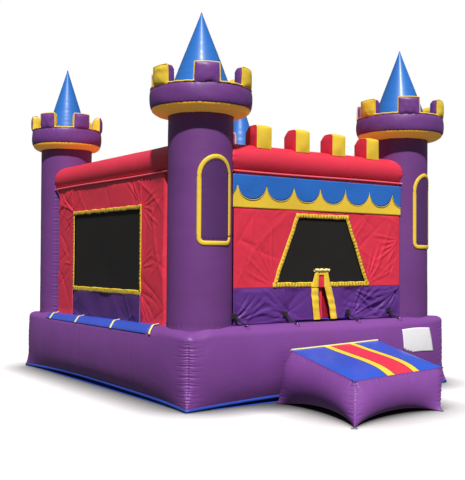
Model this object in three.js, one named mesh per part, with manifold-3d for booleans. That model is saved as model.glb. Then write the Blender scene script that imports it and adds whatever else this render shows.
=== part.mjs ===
// Inflatable castle bounce house: an air-filled bed with four round turret towers, top beams,
// vinyl walls with mesh windows, a slit door with two flaps, a step and the webbing on the ledge.
// Millimetres, +Z up, the front faces -Y. The origin is the middle of the bed, on the ground.
import * as THREE from 'three';
import { mergeVertices } from 'three/addons/utils/BufferGeometryUtils.js';
import Module from 'manifold-3d';

const wasm = await Module();
wasm.setup();

// Driving dimensions
const GAP = 0.3; // between pieces that touch
const BED = { width: 3960, depth: 4500, height: 860, corner: 170, edge: 60, skin: 40 };
const SHEET = 6; // ground sheet
const FLOOR = { thick: 30, clear: 24 };
const BAFFLE = { thick: 8, pitch: 560, count: 6 };
const TOWER = { inset: 424, radius: 363, skin: 30, top: 3220 };
const COLLAR = { low: 3142, inset: 23 };
const HEAD = { wall: 121, floor: 60, top: 3435 };
const MERLON = { count: 6, top: 3645, span: 28 };
const SPIRE = { tip: 14, top: 4350 };
const WALL = { inset: 165, thick: 14, top: 2560 };
const BEAM = { radius: 190, skin: 30, behind: 155, height: 2690 };
const BLOCK = { width: 235, depth: 250, pitch: 565, top: 3115, round: 70 };
const SIDE_WINDOW = { width: 1890, low: 1180, high: 2190 };
const FRONT_WINDOW = { low: 1315, high: 2090, lowHalf: 720, highHalf: 385 };
const MESH = { thick: 4, lap: 18 };
const BANNER = { low: 2152, high: 2520, thick: 12 };
const DOOR = { foot: 885, head: 1262, hinge: 420, leftLow: -30, leftHigh: -57, rightLow: 130, rightHigh: 28 };
const TAB = { bar: 220, stem: 170, barHigh: 1485, barLow: 1440, low: 1268, thick: 10, at: -20 };
const LINING = { width: 560, low: 905, high: 1420, thick: 6 };
const ROOF = { thick: 8, level: 2796 };
const ARCH = { low: 1753, high: 2677, halfAngle: 34, thick: 6, shoulder: 95 };
const STEP = { width: 1320, depth: 1030, back: 615, front: 402, corner: 60, skin: 30, cover: 12 };
const STEP_FOOT = [[-70, 110], [1330, 20], [1215, -1110], [-200, -1220]];
const STEP_PLACE = { x: -745, y: -2420, turn: 1.5 };
const LEDGE_PAD = { thick: 10, from: -1400, to: 1500 };
const STRAP = { width: 45, thick: 4, top: 980, places: [-1180, -480, 470, 1170] };
const RING = { width: 62, reach: 46, wire: 6, lift: 4.6 };
const SLEEVE = { radius: 130, skin: 10, length: 600, x: 1100, height: 260 };
const VENT = { width: 420, height: 320, thick: 8, x: -1000, high: 620 };

// Colours
const PURPLE = 0x6f3f8c;
const DEEP_PURPLE = 0x5e2c80;
const RED = 0xe23b54;
const YELLOW = 0xf8dc4a;
const BLUE = 0x2f74d8;
const NAVY = 0x2a55c8;
const BLACK = 0x1e1c18;

const vinyl = (color) => new THREE.MeshStandardMaterial({ color, roughness: 0.45, metalness: 0 });
const webbing = new THREE.MeshStandardMaterial({ color: BLACK, roughness: 0.8, metalness: 0 });
const netting = new THREE.MeshStandardMaterial({ color: BLACK, roughness: 0.9, metalness: 0 });
const steel = new THREE.MeshStandardMaterial({ color: 0xb8bcc0, roughness: 0.3, metalness: 1 });

const house = new THREE.Group();
const radians = THREE.MathUtils.degToRad;

// A closed geometry as a solid that can be cut and joined.
function solid(geometry) {
  const bare = geometry.clone();
  bare.deleteAttribute('normal');
  bare.deleteAttribute('uv');
  const merged = mergeVertices(bare, 1e-3);
  return new wasm.Manifold(new wasm.Mesh({
    numProp: 3,
    vertProperties: merged.attributes.position.array,
    triVerts: new Uint32Array(merged.index.array),
  }));
}

// A cut or joined solid as a geometry.
function geometryOf(body) {
  const made = body.getMesh();
  const geometry = new THREE.BufferGeometry();
  geometry.setAttribute('position', new THREE.BufferAttribute(new Float32Array(made.vertProperties), 3));
  geometry.setIndex(new THREE.BufferAttribute(new Uint32Array(made.triVerts), 1));
  geometry.computeVertexNormals();
  return geometry;
}

function add(parent, name, geometry, material) {
  const mesh = new THREE.Mesh(geometry, material);
  mesh.name = name;
  parent.add(mesh);
  return mesh;
}

const at = (geometry, x, y, z) => geometry.translate(x, y, z);

// A box from its lowest to its highest corner.
function box(x0, y0, z0, x1, y1, z1) {
  const shape = new THREE.BoxGeometry(x1 - x0, y1 - y0, z1 - z0);
  return at(shape, (x0 + x1) / 2, (y0 + y1) / 2, (z0 + z1) / 2);
}

// An upright cylinder from z0 to z1.
function post(radius, z0, z1, segments = 32) {
  const shape = new THREE.CylinderGeometry(radius, radius, z1 - z0, segments).rotateX(Math.PI / 2);
  return at(shape, 0, 0, (z0 + z1) / 2);
}

// A profile of [radius, height] turned about Z.
function lathe(profile, segments) {
  const points = profile.map(([r, z]) => new THREE.Vector2(r, z));
  return new THREE.LatheGeometry(points, segments).rotateX(Math.PI / 2);
}

// An outline in X and Y, raised from z0 to z1.
function raise(shape, z0, z1, curveSegments = 6) {
  const geometry = new THREE.ExtrudeGeometry(shape, { depth: z1 - z0, bevelEnabled: false, curveSegments });
  return at(geometry, 0, 0, z0);
}

// An outline in X and Z, with any holes, as a sheet between two depths.
function upright(outline, holes, y0, y1, curveSegments = 6) {
  const shape = outline instanceof THREE.Shape ? outline : polygon(outline);
  holes.forEach((hole) => shape.holes.push(polygon(hole)));
  const geometry = new THREE.ExtrudeGeometry(shape, { depth: y1 - y0, bevelEnabled: false, curveSegments });
  return at(geometry.rotateX(Math.PI / 2), 0, y1, 0);
}

function polygon(points) {
  return new THREE.Shape(points.map(([x, y]) => new THREE.Vector2(x, y)));
}

const rectangle = (x0, y0, x1, y1) => [[x0, y0], [x1, y0], [x1, y1], [x0, y1]];

function roundedRectangle(width, depth, radius) {
  const [x, y] = [width / 2, depth / 2];
  const shape = new THREE.Shape();
  shape.moveTo(-x + radius, -y);
  shape.lineTo(x - radius, -y);
  shape.absarc(x - radius, -y + radius, radius, -Math.PI / 2, 0, false);
  shape.lineTo(x, y - radius);
  shape.absarc(x - radius, y - radius, radius, 0, Math.PI / 2, false);
  shape.lineTo(-x + radius, y);
  shape.absarc(-x + radius, y - radius, radius, Math.PI / 2, Math.PI, false);
  shape.lineTo(-x, -y + radius);
  shape.absarc(-x + radius, -y + radius, radius, Math.PI, Math.PI * 1.5, false);
  return shape;
}

// A block with round upright corners and bevelled top and bottom edges.
function cushion(width, depth, height, corner, edge) {
  const shape = roundedRectangle(width - 2 * edge, depth - 2 * edge, corner - edge);
  const geometry = new THREE.ExtrudeGeometry(shape, {
    depth: height - 2 * edge, bevelSize: edge, bevelThickness: edge, bevelSegments: 2, curveSegments: 4,
  });
  return at(geometry, 0, 0, edge);
}

const towerX = BED.width / 2 - TOWER.inset;
const towerY = BED.depth / 2 - TOWER.inset;
const wallX = BED.width / 2 - WALL.inset;
const wallY = BED.depth / 2 - WALL.inset;
const corners = [
  { name: 'front_left', x: -towerX, y: -towerY, turn: -26, head: 571, spire: 384 },
  { name: 'front_right', x: towerX, y: -towerY, turn: -34, head: 571, spire: 384 },
  { name: 'rear_left', x: -towerX, y: towerY, turn: 2, head: 507, spire: 320 },
  { name: 'rear_right', x: towerX, y: towerY, turn: 2, head: 507, spire: 320 },
];

// The room that the four columns take, to be cut out of what stands between them.
function columnRoom() {
  return corners
    .map(({ x, y }) => solid(at(post(TOWER.radius + GAP, 0, BANNER.high + 1000), x, y, 0)))
    .reduce((all, one) => all.add(one));
}

// The air bed: a hollow skin with its air inlet at the back, baffles inside, the floor on top.
function bed() {
  const inside = BED.skin;
  const outline = roundedRectangle(BED.width, BED.depth, BED.corner);
  add(house, 'ground_sheet', raise(outline, 0, SHEET), vinyl(NAVY));

  const low = SHEET + GAP;
  const outer = cushion(BED.width, BED.depth, BED.height - low, BED.corner, BED.edge);
  const hollow = raise(
    roundedRectangle(BED.width - 2 * inside, BED.depth - 2 * inside, BED.corner),
    inside, BED.height - low - inside, 4,
  );
  const inlet = new THREE.CylinderGeometry(SLEEVE.radius - SLEEVE.skin, SLEEVE.radius - SLEEVE.skin, 200, 24);
  const skin = solid(outer)
    .subtract(solid(hollow))
    .subtract(solid(at(inlet, SLEEVE.x, BED.depth / 2, SLEEVE.height - low)));
  add(house, 'base_bed', geometryOf(skin), vinyl(PURPLE)).position.z = low;

  const margin = inside + GAP;
  const z0 = low + margin;
  const z1 = BED.height - margin;
  const back = BED.depth / 2 - 2 * margin - SLEEVE.radius;
  const front = -BED.depth / 2 + margin;
  const first = -BAFFLE.pitch * (BAFFLE.count - 1) / 2;
  const half = BAFFLE.thick / 2;
  let baffles = solid(box(first - 20, -half, z0 + 30, -first + 20, half, z1 - 30));
  for (let i = 0; i < BAFFLE.count; i += 1) {
    const x = first + i * BAFFLE.pitch;
    baffles = baffles.add(solid(box(x - half, front, z0, x + half, back, z1)));
  }
  add(house, 'floor_baffles', geometryOf(baffles), vinyl(PURPLE));

  const x = wallX - FLOOR.clear;
  const y = wallY - FLOOR.clear;
  const slab = solid(box(-x, -y, BED.height + GAP, x, y, BED.height + FLOOR.thick));
  add(house, 'bounce_floor', geometryOf(slab.subtract(columnRoom())), vinyl(NAVY));
}

// One crenellated head: a ring with a floor and upright merlons.
function head(radius, turn) {
  const inner = radius - HEAD.wall;
  const ring = lathe([
    [0, TOWER.top], [radius, TOWER.top], [radius, HEAD.top], [inner, HEAD.top],
    [inner, TOWER.top + HEAD.floor], [0, TOWER.top + HEAD.floor],
  ], 42);
  let body = solid(ring);
  for (let i = 0; i < MERLON.count; i += 1) {
    const middle = radians(turn + i * 360 / MERLON.count) - Math.PI / 2;
    const half = radians(MERLON.span / 2);
    const sector = new THREE.Shape();
    sector.absarc(0, 0, radius, middle - half, middle + half, false);
    sector.absarc(0, 0, inner, middle + half, middle - half, true);
    body = body.add(solid(raise(sector, HEAD.top - 20, MERLON.top, 4)));
  }
  return geometryOf(body);
}

function tower({ name, x, y, turn, head: radius, spire }) {
  const group = new THREE.Group();
  group.position.set(x, y, 0);
  house.add(group);
  const foot = BED.height + GAP;
  const top = TOWER.top - GAP;
  const bore = TOWER.radius - TOWER.skin;
  const cup = lathe([
    [bore, foot], [TOWER.radius, foot], [TOWER.radius, top], [0, top], [0, top - TOWER.skin],
    [bore, top - TOWER.skin], [bore, foot],
  ], 32);
  add(group, `column_${name}`, cup, vinyl(PURPLE));

  const throat = TOWER.radius + 2 * GAP;
  const rise = top - COLLAR.low;
  const out = radius - COLLAR.inset - throat;
  const bulge = [0, 22, 45, 68, 90].map((degrees) => {
    const a = radians(degrees);
    return [throat + out * Math.sin(a), COLLAR.low + rise * (1 - Math.cos(a))];
  });
  add(group, `collar_${name}`, lathe([...bulge, [throat, top], [throat, COLLAR.low]], 32), vinyl(YELLOW));
  add(group, `head_${name}`, head(radius, turn), vinyl(DEEP_PURPLE));

  const ground = TOWER.top + HEAD.floor + GAP;
  const cone = lathe([
    [0, ground], [spire, ground], [SPIRE.tip, SPIRE.top - 2 * SPIRE.tip],
    [SPIRE.tip * 0.6, SPIRE.top - SPIRE.tip / 2], [0, SPIRE.top],
  ], 32);
  add(group, `spire_${name}`, cone, vinyl(BLUE));
}

// Hollow beams from column to column, their ends saddled on the columns.
function beams() {
  const room = columnRoom();
  const bore = BEAM.radius - BEAM.skin;
  const tube = (length) => {
    const outer = solid(new THREE.CylinderGeometry(BEAM.radius, BEAM.radius, length, 28));
    return outer.subtract(solid(new THREE.CylinderGeometry(bore, bore, length + 2, 28)));
  };
  const across = tube(2 * towerX).rotate([0, 0, 90]);
  const along = tube(2 * towerY);
  const x = wallX - BEAM.behind;
  const y = wallY - BEAM.behind;
  const places = {
    top_beam_front: across.translate([0, -y, BEAM.height]),
    top_beam_rear: across.translate([0, y, BEAM.height]),
    top_beam_left: along.translate([-x, 0, BEAM.height]),
    top_beam_right: along.translate([x, 0, BEAM.height]),
  };
  Object.entries(places).forEach(([name, beam]) => {
    add(house, name, geometryOf(beam.subtract(room)), vinyl(RED));
  });

  const solidBeam = solid(new THREE.CylinderGeometry(BEAM.radius + GAP, BEAM.radius + GAP, 3000, 28))
    .rotate([0, 0, 90]).translate([0, -y, BEAM.height]);
  const side = new THREE.Shape();
  const [near, far] = [-y - BLOCK.depth / 2 - 10, -y + BLOCK.depth / 2 - 10];
  side.moveTo(near, BEAM.height);
  side.lineTo(far, BEAM.height);
  side.lineTo(far, BLOCK.top - BLOCK.round);
  side.absarc(far - BLOCK.round, BLOCK.top - BLOCK.round, BLOCK.round, 0, Math.PI / 2, false);
  side.lineTo(near, BLOCK.top);
  for (let i = 0; i < 4; i += 1) {
    const middle = (i - 1.5) * BLOCK.pitch;
    const options = { depth: BLOCK.width, bevelEnabled: false, curveSegments: 4 };
    const block = new THREE.ExtrudeGeometry(side, options).rotateX(Math.PI / 2).rotateZ(Math.PI / 2);
    const raw = solid(at(block, middle - BLOCK.width / 2, 0, 0));
    const upper = raw.subtract(solidBeam).decompose()
      .reduce((a, b) => (a.boundingBox().max[2] > b.boundingBox().max[2] ? a : b));
    add(house, `beam_merlon_${i + 1}`, geometryOf(upper), vinyl(YELLOW));
  }
}

// The half length of a wall sheet that just clears the columns at its inner face.
const reach = Math.sqrt((TOWER.radius + 2) ** 2 - (TOWER.inset - WALL.inset - WALL.thick) ** 2);
const spanX = towerX - reach;
const spanY = towerY - reach;

// A wall sheet with one window and the mesh that is sewn behind it, drawn facing -Y.
function windowWall(name, half, distance) {
  const group = new THREE.Group();
  const windowHalf = SIDE_WINDOW.width / 2;
  const sheet = upright(
    rectangle(-half, BED.height + GAP, half, WALL.top),
    [rectangle(-windowHalf, SIDE_WINDOW.low, windowHalf, SIDE_WINDOW.high)],
    -distance, -distance + WALL.thick,
  );
  add(group, `${name}_wall`, sheet, vinyl(RED));
  const lap = MESH.lap;
  const y = -distance + WALL.thick + GAP;
  const net = box(
    -windowHalf - lap, y, SIDE_WINDOW.low - lap, windowHalf + lap, y + MESH.thick, SIDE_WINDOW.high + lap,
  );
  add(group, `${name}_window_mesh`, net, netting);
  return group;
}

function walls() {
  const left = windowWall('left', spanY, wallX);
  left.rotation.z = -Math.PI / 2;
  const right = windowWall('right', spanY, wallX);
  right.rotation.z = Math.PI / 2;
  const rear = windowWall('rear', spanX, wallY);
  rear.rotation.z = Math.PI;
  house.add(left, right, rear);
}

const trapezoid = (lowHalf, highHalf, low, high) => [
  [-lowHalf, low], [lowHalf, low], [highHalf, high], [-highHalf, high],
];

function frontWall() {
  const out = -wallY;
  const back = out + WALL.thick;
  const { low, high, lowHalf, highHalf } = FRONT_WINDOW;
  const seam = DOOR.head + GAP;
  const hole = trapezoid(lowHalf, highHalf, low, high);
  const sheet = upright(rectangle(-spanX, seam, spanX, WALL.top), [hole], out, back);
  add(house, 'front_wall', sheet, vinyl(RED));

  const lap = MESH.lap;
  const net = trapezoid(lowHalf + lap, highHalf + lap, low - lap, high + lap);
  add(house, 'front_window_mesh', upright(net, [], back + GAP, back + GAP + MESH.thick), netting);

  const bannerHalf = towerX - Math.sqrt((TOWER.radius + 2) ** 2 - (TOWER.inset - WALL.inset) ** 2);
  const banner = box(
    -bannerHalf, out - GAP - BANNER.thick, BANNER.low, bannerHalf, out - GAP, BANNER.high,
  );
  add(house, 'front_banner', banner, vinyl(YELLOW));

  const panel = rectangle(-spanX, BED.height + GAP, -DOOR.hinge - GAP, DOOR.head);
  const mirrored = panel.map(([x, z]) => [-x, z]).reverse();
  add(house, 'front_panel_left', upright(panel, [], out, back), vinyl(PURPLE));
  add(house, 'front_panel_right', upright(mirrored, [], out, back), vinyl(PURPLE));
}

// The slit door: two flaps, the lining that hangs behind them and the tab that ends the slit.
function door() {
  const out = -wallY;
  const back = out + WALL.thick;
  const leftFlap = [
    [-DOOR.hinge, DOOR.foot], [DOOR.leftLow, DOOR.foot], [DOOR.leftHigh, DOOR.head], [-DOOR.hinge, DOOR.head],
  ];
  const rightFlap = [
    [DOOR.rightLow, DOOR.foot], [DOOR.hinge, DOOR.foot], [DOOR.hinge, DOOR.head], [DOOR.rightHigh, DOOR.head],
  ];
  add(house, 'door_flap_left', upright(leftFlap, [], out, back), vinyl(PURPLE));
  add(house, 'door_flap_right', upright(rightFlap, [], out, back), vinyl(PURPLE));

  const behind = back + MESH.thick + 4;
  const lining = rectangle(-LINING.width / 2, LINING.low, LINING.width / 2, LINING.high);
  add(house, 'door_lining', upright(lining, [], behind, behind + LINING.thick), vinyl(RED));

  const [bar, stem] = [TAB.bar / 2, TAB.stem / 2];
  const tee = [
    [-stem, TAB.low], [stem, TAB.low], [stem, TAB.barLow], [bar, TAB.barLow],
    [bar, TAB.barHigh], [-bar, TAB.barHigh], [-bar, TAB.barLow], [-stem, TAB.barLow],
  ];
  const tab = upright(tee, [], out - GAP - TAB.thick, out - GAP);
  add(house, 'door_tab', at(tab, TAB.at, 0, 0), vinyl(YELLOW));
}

// The sun cover over the play space, notched round the columns.
function roof() {
  const dz = ROOF.level - BEAM.height;
  const inward = Math.sqrt((BEAM.radius + 3) ** 2 - dz ** 2);
  const x = wallX - BEAM.behind - inward;
  const y = wallY - BEAM.behind - inward;
  const cover = solid(box(-x, -y, ROOF.level, x, y, ROOF.level + ROOF.thick));
  add(house, 'roof_cover', geometryOf(cover.subtract(columnRoom())), vinyl(RED));
}

// An arch-shaped patch wrapped on the front of a column.
function arch(name, x, y, turn) {
  const inner = TOWER.radius + GAP;
  const tube = solid(post(inner + ARCH.thick, ARCH.low - 10, ARCH.high + 10))
    .subtract(solid(post(inner, ARCH.low - 20, ARCH.high + 20)));
  const half = inner * Math.sin(radians(ARCH.halfAngle));
  const shape = new THREE.Shape();
  shape.moveTo(-half, ARCH.low);
  shape.lineTo(half, ARCH.low);
  shape.lineTo(half, ARCH.high - half);
  shape.absarc(0, ARCH.high - half, half, 0, Math.PI, false);
  const cutter = upright(shape, [], -TOWER.radius - 60, -120).rotateZ(radians(turn));
  const patch = geometryOf(tube.intersect(solid(cutter)));
  add(house, name, patch, vinyl(DEEP_PURPLE)).position.set(x, y, 0);
}

// The step: a hollow wedge-topped cushion with a striped cover and splayed tips, turned a little.
function step() {
  const group = new THREE.Group();
  group.position.set(STEP_PLACE.x, STEP_PLACE.y, 0);
  group.rotation.z = radians(STEP_PLACE.turn);
  house.add(group);
  const { width, depth, back, front, corner, skin, cover } = STEP;
  const slope = (back - front) / depth;
  const outline = (inset, height) => roundedRectangle(width - 2 * inset, depth - 2 * inset, corner)
    .getPoints(3)
    .map((p) => [p.x + width / 2, p.y - depth / 2, height(p.y - depth / 2)]);
  const towards = (from, middle, inset) => from + Math.sign(middle - from) * inset;
  const wedge = (inset) => wasm.Manifold.hull([
    ...STEP_FOOT.map(([x, y]) => [towards(x, width / 2, inset), towards(y, -depth / 2, inset), inset]),
    ...outline(inset, (y) => back + y * slope - inset),
  ]);
  const vent = new THREE.CylinderGeometry(60, 60, 6 * skin, 16);
  const body = wedge(0)
    .subtract(wedge(skin))
    .subtract(solid(at(vent, width / 2, 0, back / 2)));
  add(group, 'step_body', geometryOf(body), vinyl(PURPLE));

  const [x0, x1] = [30, width - 30];
  const level = (y) => back + y * slope + GAP;
  const [y0, y1] = [-depth + 30, -30];
  const strip = polygon([[y0, level(y0)], [y1, level(y1)], [y1, level(y1) + cover], [y0, level(y0) + cover]]);
  const options = { depth: x1 - x0, bevelEnabled: false };
  const sheet = new THREE.ExtrudeGeometry(strip, options).rotateX(Math.PI / 2).rotateZ(Math.PI / 2);
  add(group, 'step_cover', at(sheet, x0, 0, 0), vinyl(NAVY));
}

// Padded strips that cover the shoulder of the bed outside the two side walls.
function ledgePads() {
  const foot = wallX + 2;
  const bend = BED.width / 2 - BED.edge;
  const base = BED.height - BED.edge;
  const shoulder = (radius) => {
    const slant = radius * Math.SQRT1_2;
    const points = [[bend, base + radius], [bend + slant, base + slant], [bend + radius, base]];
    points[2] = [(points[1][0] + points[2][0]) / 2, (points[1][1] + points[2][1]) / 2];
    return points;
  };
  const inner = shoulder(BED.edge + 3 * GAP);
  const outer = shoulder(BED.edge + LEDGE_PAD.thick).reverse();
  const section = polygon([[foot, inner[0][1]], ...inner, ...outer, [foot, outer[2][1]]]);
  const options = { depth: LEDGE_PAD.to - LEDGE_PAD.from, bevelEnabled: false };
  const pad = new THREE.ExtrudeGeometry(section, options).rotateX(Math.PI / 2);
  const right = at(pad.clone(), 0, LEDGE_PAD.to, 0);
  add(house, 'ledge_pad_right', right, vinyl(NAVY));
  const left = at(pad.rotateZ(Math.PI), 0, LEDGE_PAD.from, 0);
  add(house, 'ledge_pad_left', left, vinyl(NAVY));
}

// Webbing straps sewn to the front wall, each ending in a D-ring that lies on the ledge.
function straps() {
  const wall = -wallY - GAP;
  const ledge = BED.height + GAP;
  const { width, thick, top } = STRAP;
  const end = -BED.depth / 2 + 64;
  const bend = 30;
  const side = new THREE.Shape();
  side.moveTo(wall, top);
  side.lineTo(wall - thick, top);
  side.lineTo(wall - thick, ledge + bend + thick);
  side.absarc(wall - thick - bend, ledge + bend + thick, bend, 0, -Math.PI / 2, true);
  side.lineTo(end, ledge + thick);
  side.lineTo(end, ledge);
  side.lineTo(wall - thick - bend, ledge);
  side.absarc(wall - thick - bend, ledge + bend + thick, bend + thick, -Math.PI / 2, 0, false);
  const options = { depth: width, bevelEnabled: false, curveSegments: 5 };
  STRAP.places.forEach((x, i) => {
    const band = new THREE.ExtrudeGeometry(side, options).rotateX(Math.PI / 2).rotateZ(Math.PI / 2);
    add(house, `tie_strap_${i + 1}`, at(band, x - width / 2, 0, 0), webbing);
    const ring = add(house, `strap_ring_${i + 1}`, dRing(), steel);
    ring.position.set(x, end - 8, ledge + RING.lift);
  });
}

// A D-ring lying flat: its bar is on the X axis and its bow reaches towards -Y.
function dRing() {
  const { width, reach: bow, wire } = RING;
  const outline = (half, from, to) => {
    const shape = new THREE.Shape();
    shape.moveTo(half, from);
    shape.lineTo(-half, from);
    shape.lineTo(-half, (from + to) / 2);
    shape.quadraticCurveTo(-half, to, 0, to);
    shape.quadraticCurveTo(half, to, half, (from + to) / 2);
    return shape;
  };
  const outer = outline(width / 2, wire / 2, -bow);
  outer.holes.push(outline(width / 2 - wire, -wire / 2, -bow + wire));
  return raise(outer, -wire / 2, wire / 2, 5);
}

// Air inlet sleeve and the flap over the deflation port, both on the back of the bed.
function backFittings() {
  const from = BED.depth / 2 + GAP;
  const { radius, skin, length } = SLEEVE;
  const outer = solid(new THREE.CylinderGeometry(radius, radius, length, 24));
  const tube = outer.subtract(solid(new THREE.CylinderGeometry(radius - skin, radius - skin, length + 2, 24)));
  const mesh = add(house, 'inflation_sleeve', geometryOf(tube), vinyl(PURPLE));
  mesh.position.set(SLEEVE.x, from + length / 2, SLEEVE.height);

  const half = VENT.width / 2;
  const flap = box(
    VENT.x - half, from, VENT.high - VENT.height, VENT.x + half, from + VENT.thick, VENT.high,
  );
  add(house, 'deflation_flap', flap, vinyl(PURPLE));
}

bed();
corners.forEach(tower);
beams();
walls();
frontWall();
door();
roof();
arch('arch_patch_left', -towerX, -towerY, -4);
arch('arch_patch_right', towerX, -towerY, 16);
step();
ledgePads();
straps();
backFittings();

export default house;
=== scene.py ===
import math

import bpy
import numpy as np
from mathutils import Matrix, Vector
from mathutils.bvhtree import BVHTree


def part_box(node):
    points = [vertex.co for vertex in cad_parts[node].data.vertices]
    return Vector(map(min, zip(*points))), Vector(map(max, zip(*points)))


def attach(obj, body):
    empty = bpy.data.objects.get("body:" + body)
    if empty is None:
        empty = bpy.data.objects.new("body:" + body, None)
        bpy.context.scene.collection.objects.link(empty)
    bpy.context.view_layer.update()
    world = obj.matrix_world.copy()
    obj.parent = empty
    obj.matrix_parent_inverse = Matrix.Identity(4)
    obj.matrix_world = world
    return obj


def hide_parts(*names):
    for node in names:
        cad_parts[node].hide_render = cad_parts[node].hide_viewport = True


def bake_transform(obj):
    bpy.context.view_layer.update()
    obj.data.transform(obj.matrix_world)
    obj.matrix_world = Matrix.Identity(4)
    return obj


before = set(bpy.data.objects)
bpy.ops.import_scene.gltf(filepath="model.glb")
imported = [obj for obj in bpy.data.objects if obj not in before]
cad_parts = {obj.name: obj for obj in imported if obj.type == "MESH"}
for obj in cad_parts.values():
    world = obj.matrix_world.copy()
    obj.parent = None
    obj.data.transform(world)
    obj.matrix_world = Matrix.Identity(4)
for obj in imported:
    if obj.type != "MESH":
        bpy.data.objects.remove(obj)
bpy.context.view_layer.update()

# ---------------------------------------------------------------- measures from the frame

ROOT = "house"
bed_low, bed_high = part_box("base_bed")
BED_X, BED_Y = bed_high.x, bed_high.y
BED_TOP = bed_high.z
WALL_X = -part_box("left_wall")[0].x
WALL_Y = -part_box("front_wall")[0].y
WALL_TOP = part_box("front_wall")[1].z
HALF_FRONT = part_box("front_wall")[1].x
HALF_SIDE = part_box("left_wall")[1].y
column_low, column_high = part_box("column_front_right")
COLUMN_R = (column_high.x - column_low.x) / 2
TOWER_X, TOWER_Y = (column_low.x + column_high.x) / 2, -(column_low.y + column_high.y) / 2
beam_low, beam_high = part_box("top_beam_front")
BEAM_R = (beam_high.z - beam_low.z) / 2
BEAM_Y, BEAM_Z = -(beam_low.y + beam_high.y) / 2, (beam_low.z + beam_high.z) / 2
BEAM_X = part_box("top_beam_right")[1].x - BEAM_R
head_low, head_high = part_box("head_front_right")
HEAD_WALL = 0.121  # how thick the ring on a tower is
RING_LOW, RING_HIGH, MERLON_TOP = head_low.z, 3.435, head_high.z
collar_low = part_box("collar_front_right")[0]
SPIRE_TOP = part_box("spire_front_right")[1].z
DOOR_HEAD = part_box("door_flap_left")[1].z
DOOR_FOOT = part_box("door_flap_left")[0].z
DOOR_HINGE = 0.42  # the flaps hang from here on both sides
FABRIC = 0.003  # how thick the sheet vinyl is
NET_LAP = 0.018  # how far a net runs on behind its binding
SIDE_WINDOW = 0.945  # half the width of the side and rear windows
DEEPEST = -0.040  # the furthest that a front fold may sink in

# each tower: its side in x and y, the turn of its head in degrees, whether all its merlons are purple outside
CORNERS = {
    "front_left": (-1, -1, -26, False),
    "front_right": (1, -1, -34, False),
    "rear_left": (-1, 1, 2, True),
    "rear_right": (1, 1, 2, True),
}

# ---------------------------------------------------------------- numbers and fields


def smooth(edge0, edge1, x):
    t = np.clip((x - edge0) / (edge1 - edge0), 0, 1)
    return t * t * (3 - 2 * t)


def ripple(points, wavelength, seed, waves=7):
    """A soft random field between about -1 and 1, the same for the same seed."""
    rng = np.random.default_rng(seed)
    total = np.zeros(points.shape[:-1])
    for _ in range(waves):
        direction = rng.normal(size=3)
        direction /= np.linalg.norm(direction)
        k = 2 * math.pi / (wavelength * rng.uniform(0.7, 1.5))
        total += np.sin(points @ direction * k + rng.uniform(0, 2 * math.pi))
    return total / math.sqrt(waves)


def flat_ripple(u, v, wavelength, seed):
    return ripple(np.stack([u, v, 0 * u], -1), wavelength, seed)


def bell(distance, width):
    """1 at distance 0, fading over the width."""
    return np.exp(-(distance / width) ** 2)


def grid(u, v):
    return np.meshgrid(u, v, indexing="ij")


def round_z(radius, angle, z):
    """Points around Z: angle 0 looks to -Y and grows towards +X."""
    return np.stack([radius * np.sin(angle), -radius * np.cos(angle), z], -1)


def narrowed(points, factor):
    """Points brought nearer to Z by a factor each."""
    moved = points.copy()
    moved[..., :2] *= factor[..., None]
    return moved


def off_angle(angle, place):
    """How far an angle lies from a place, from -pi to pi."""
    return (angle - place + math.pi) % (2 * math.pi) - math.pi


def cell_middles(values):
    """The values half-way across each cell of a grid."""
    return (values[:-1, :-1] + values[1:, 1:]) / 2


def creases(u, v, seed, count, depth, width, length, lean=(0, math.pi), area=None):
    """Sharp folds in a sheet: each is a straight ridge that fades to its ends."""
    rng = np.random.default_rng(seed)
    u0, u1, v0, v1 = area or (u.min(), u.max(), v.min(), v.max())
    total = np.zeros_like(u)
    for _ in range(count):
        cu, cv = rng.uniform(u0, u1), rng.uniform(v0, v1)
        angle = rng.uniform(*lean)
        reach = length * rng.uniform(0.5, 1.5)
        across = (v - cv) * math.cos(angle) - (u - cu) * math.sin(angle)
        along = (u - cu) * math.cos(angle) + (v - cv) * math.sin(angle)
        across = across + 0.12 * reach * np.sin(along / reach * 2.2 + cu * 9)
        fade = np.clip(1 - (along / reach) ** 2, 0, 1)
        size = depth * rng.uniform(0.4, 1.0) * rng.choice([-1, 1])
        total += size * fade * np.exp(-np.abs(across) / (width * rng.uniform(0.6, 1.6)))
    return total


def puckers(along, pitch, seed):
    """Uneven gathers along a seam, from 0 to 1."""
    wobble = 1.3 * np.sin(along / pitch * 1.7 + seed) + 0.8 * np.sin(along / pitch * 0.61 + 2 * seed)
    return 0.5 + 0.5 * np.cos(2 * math.pi * along / pitch + wobble)


# ---------------------------------------------------------------- mesh making


def new_object(name, verts, faces, materials, indices=None):
    mesh = bpy.data.meshes.new(name)
    faces = faces.tolist() if isinstance(faces, np.ndarray) else faces
    mesh.from_pydata(np.asarray(verts, float).reshape(-1, 3).tolist(), [], faces)
    for m in materials if isinstance(materials, (list, tuple)) else [materials]:
        mesh.materials.append(m)
    if indices is not None:
        mesh.polygons.foreach_set("material_index", np.asarray(indices, np.int32))
    mesh.polygons.foreach_set("use_smooth", np.ones(len(mesh.polygons), bool))
    mesh.validate()
    mesh.update()
    made = bpy.data.objects.new(name, mesh)
    bpy.context.scene.collection.objects.link(made)
    return made


def keep(piece, body=ROOT, replaces=None, at=None):
    """The piece rides on its body, is moved to at when that is given, and stands for its CAD node, which is
    hidden.
    """
    if at is not None:
        piece.location = at
    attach(piece, body)
    if replaces:
        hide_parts(replaces)


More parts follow.
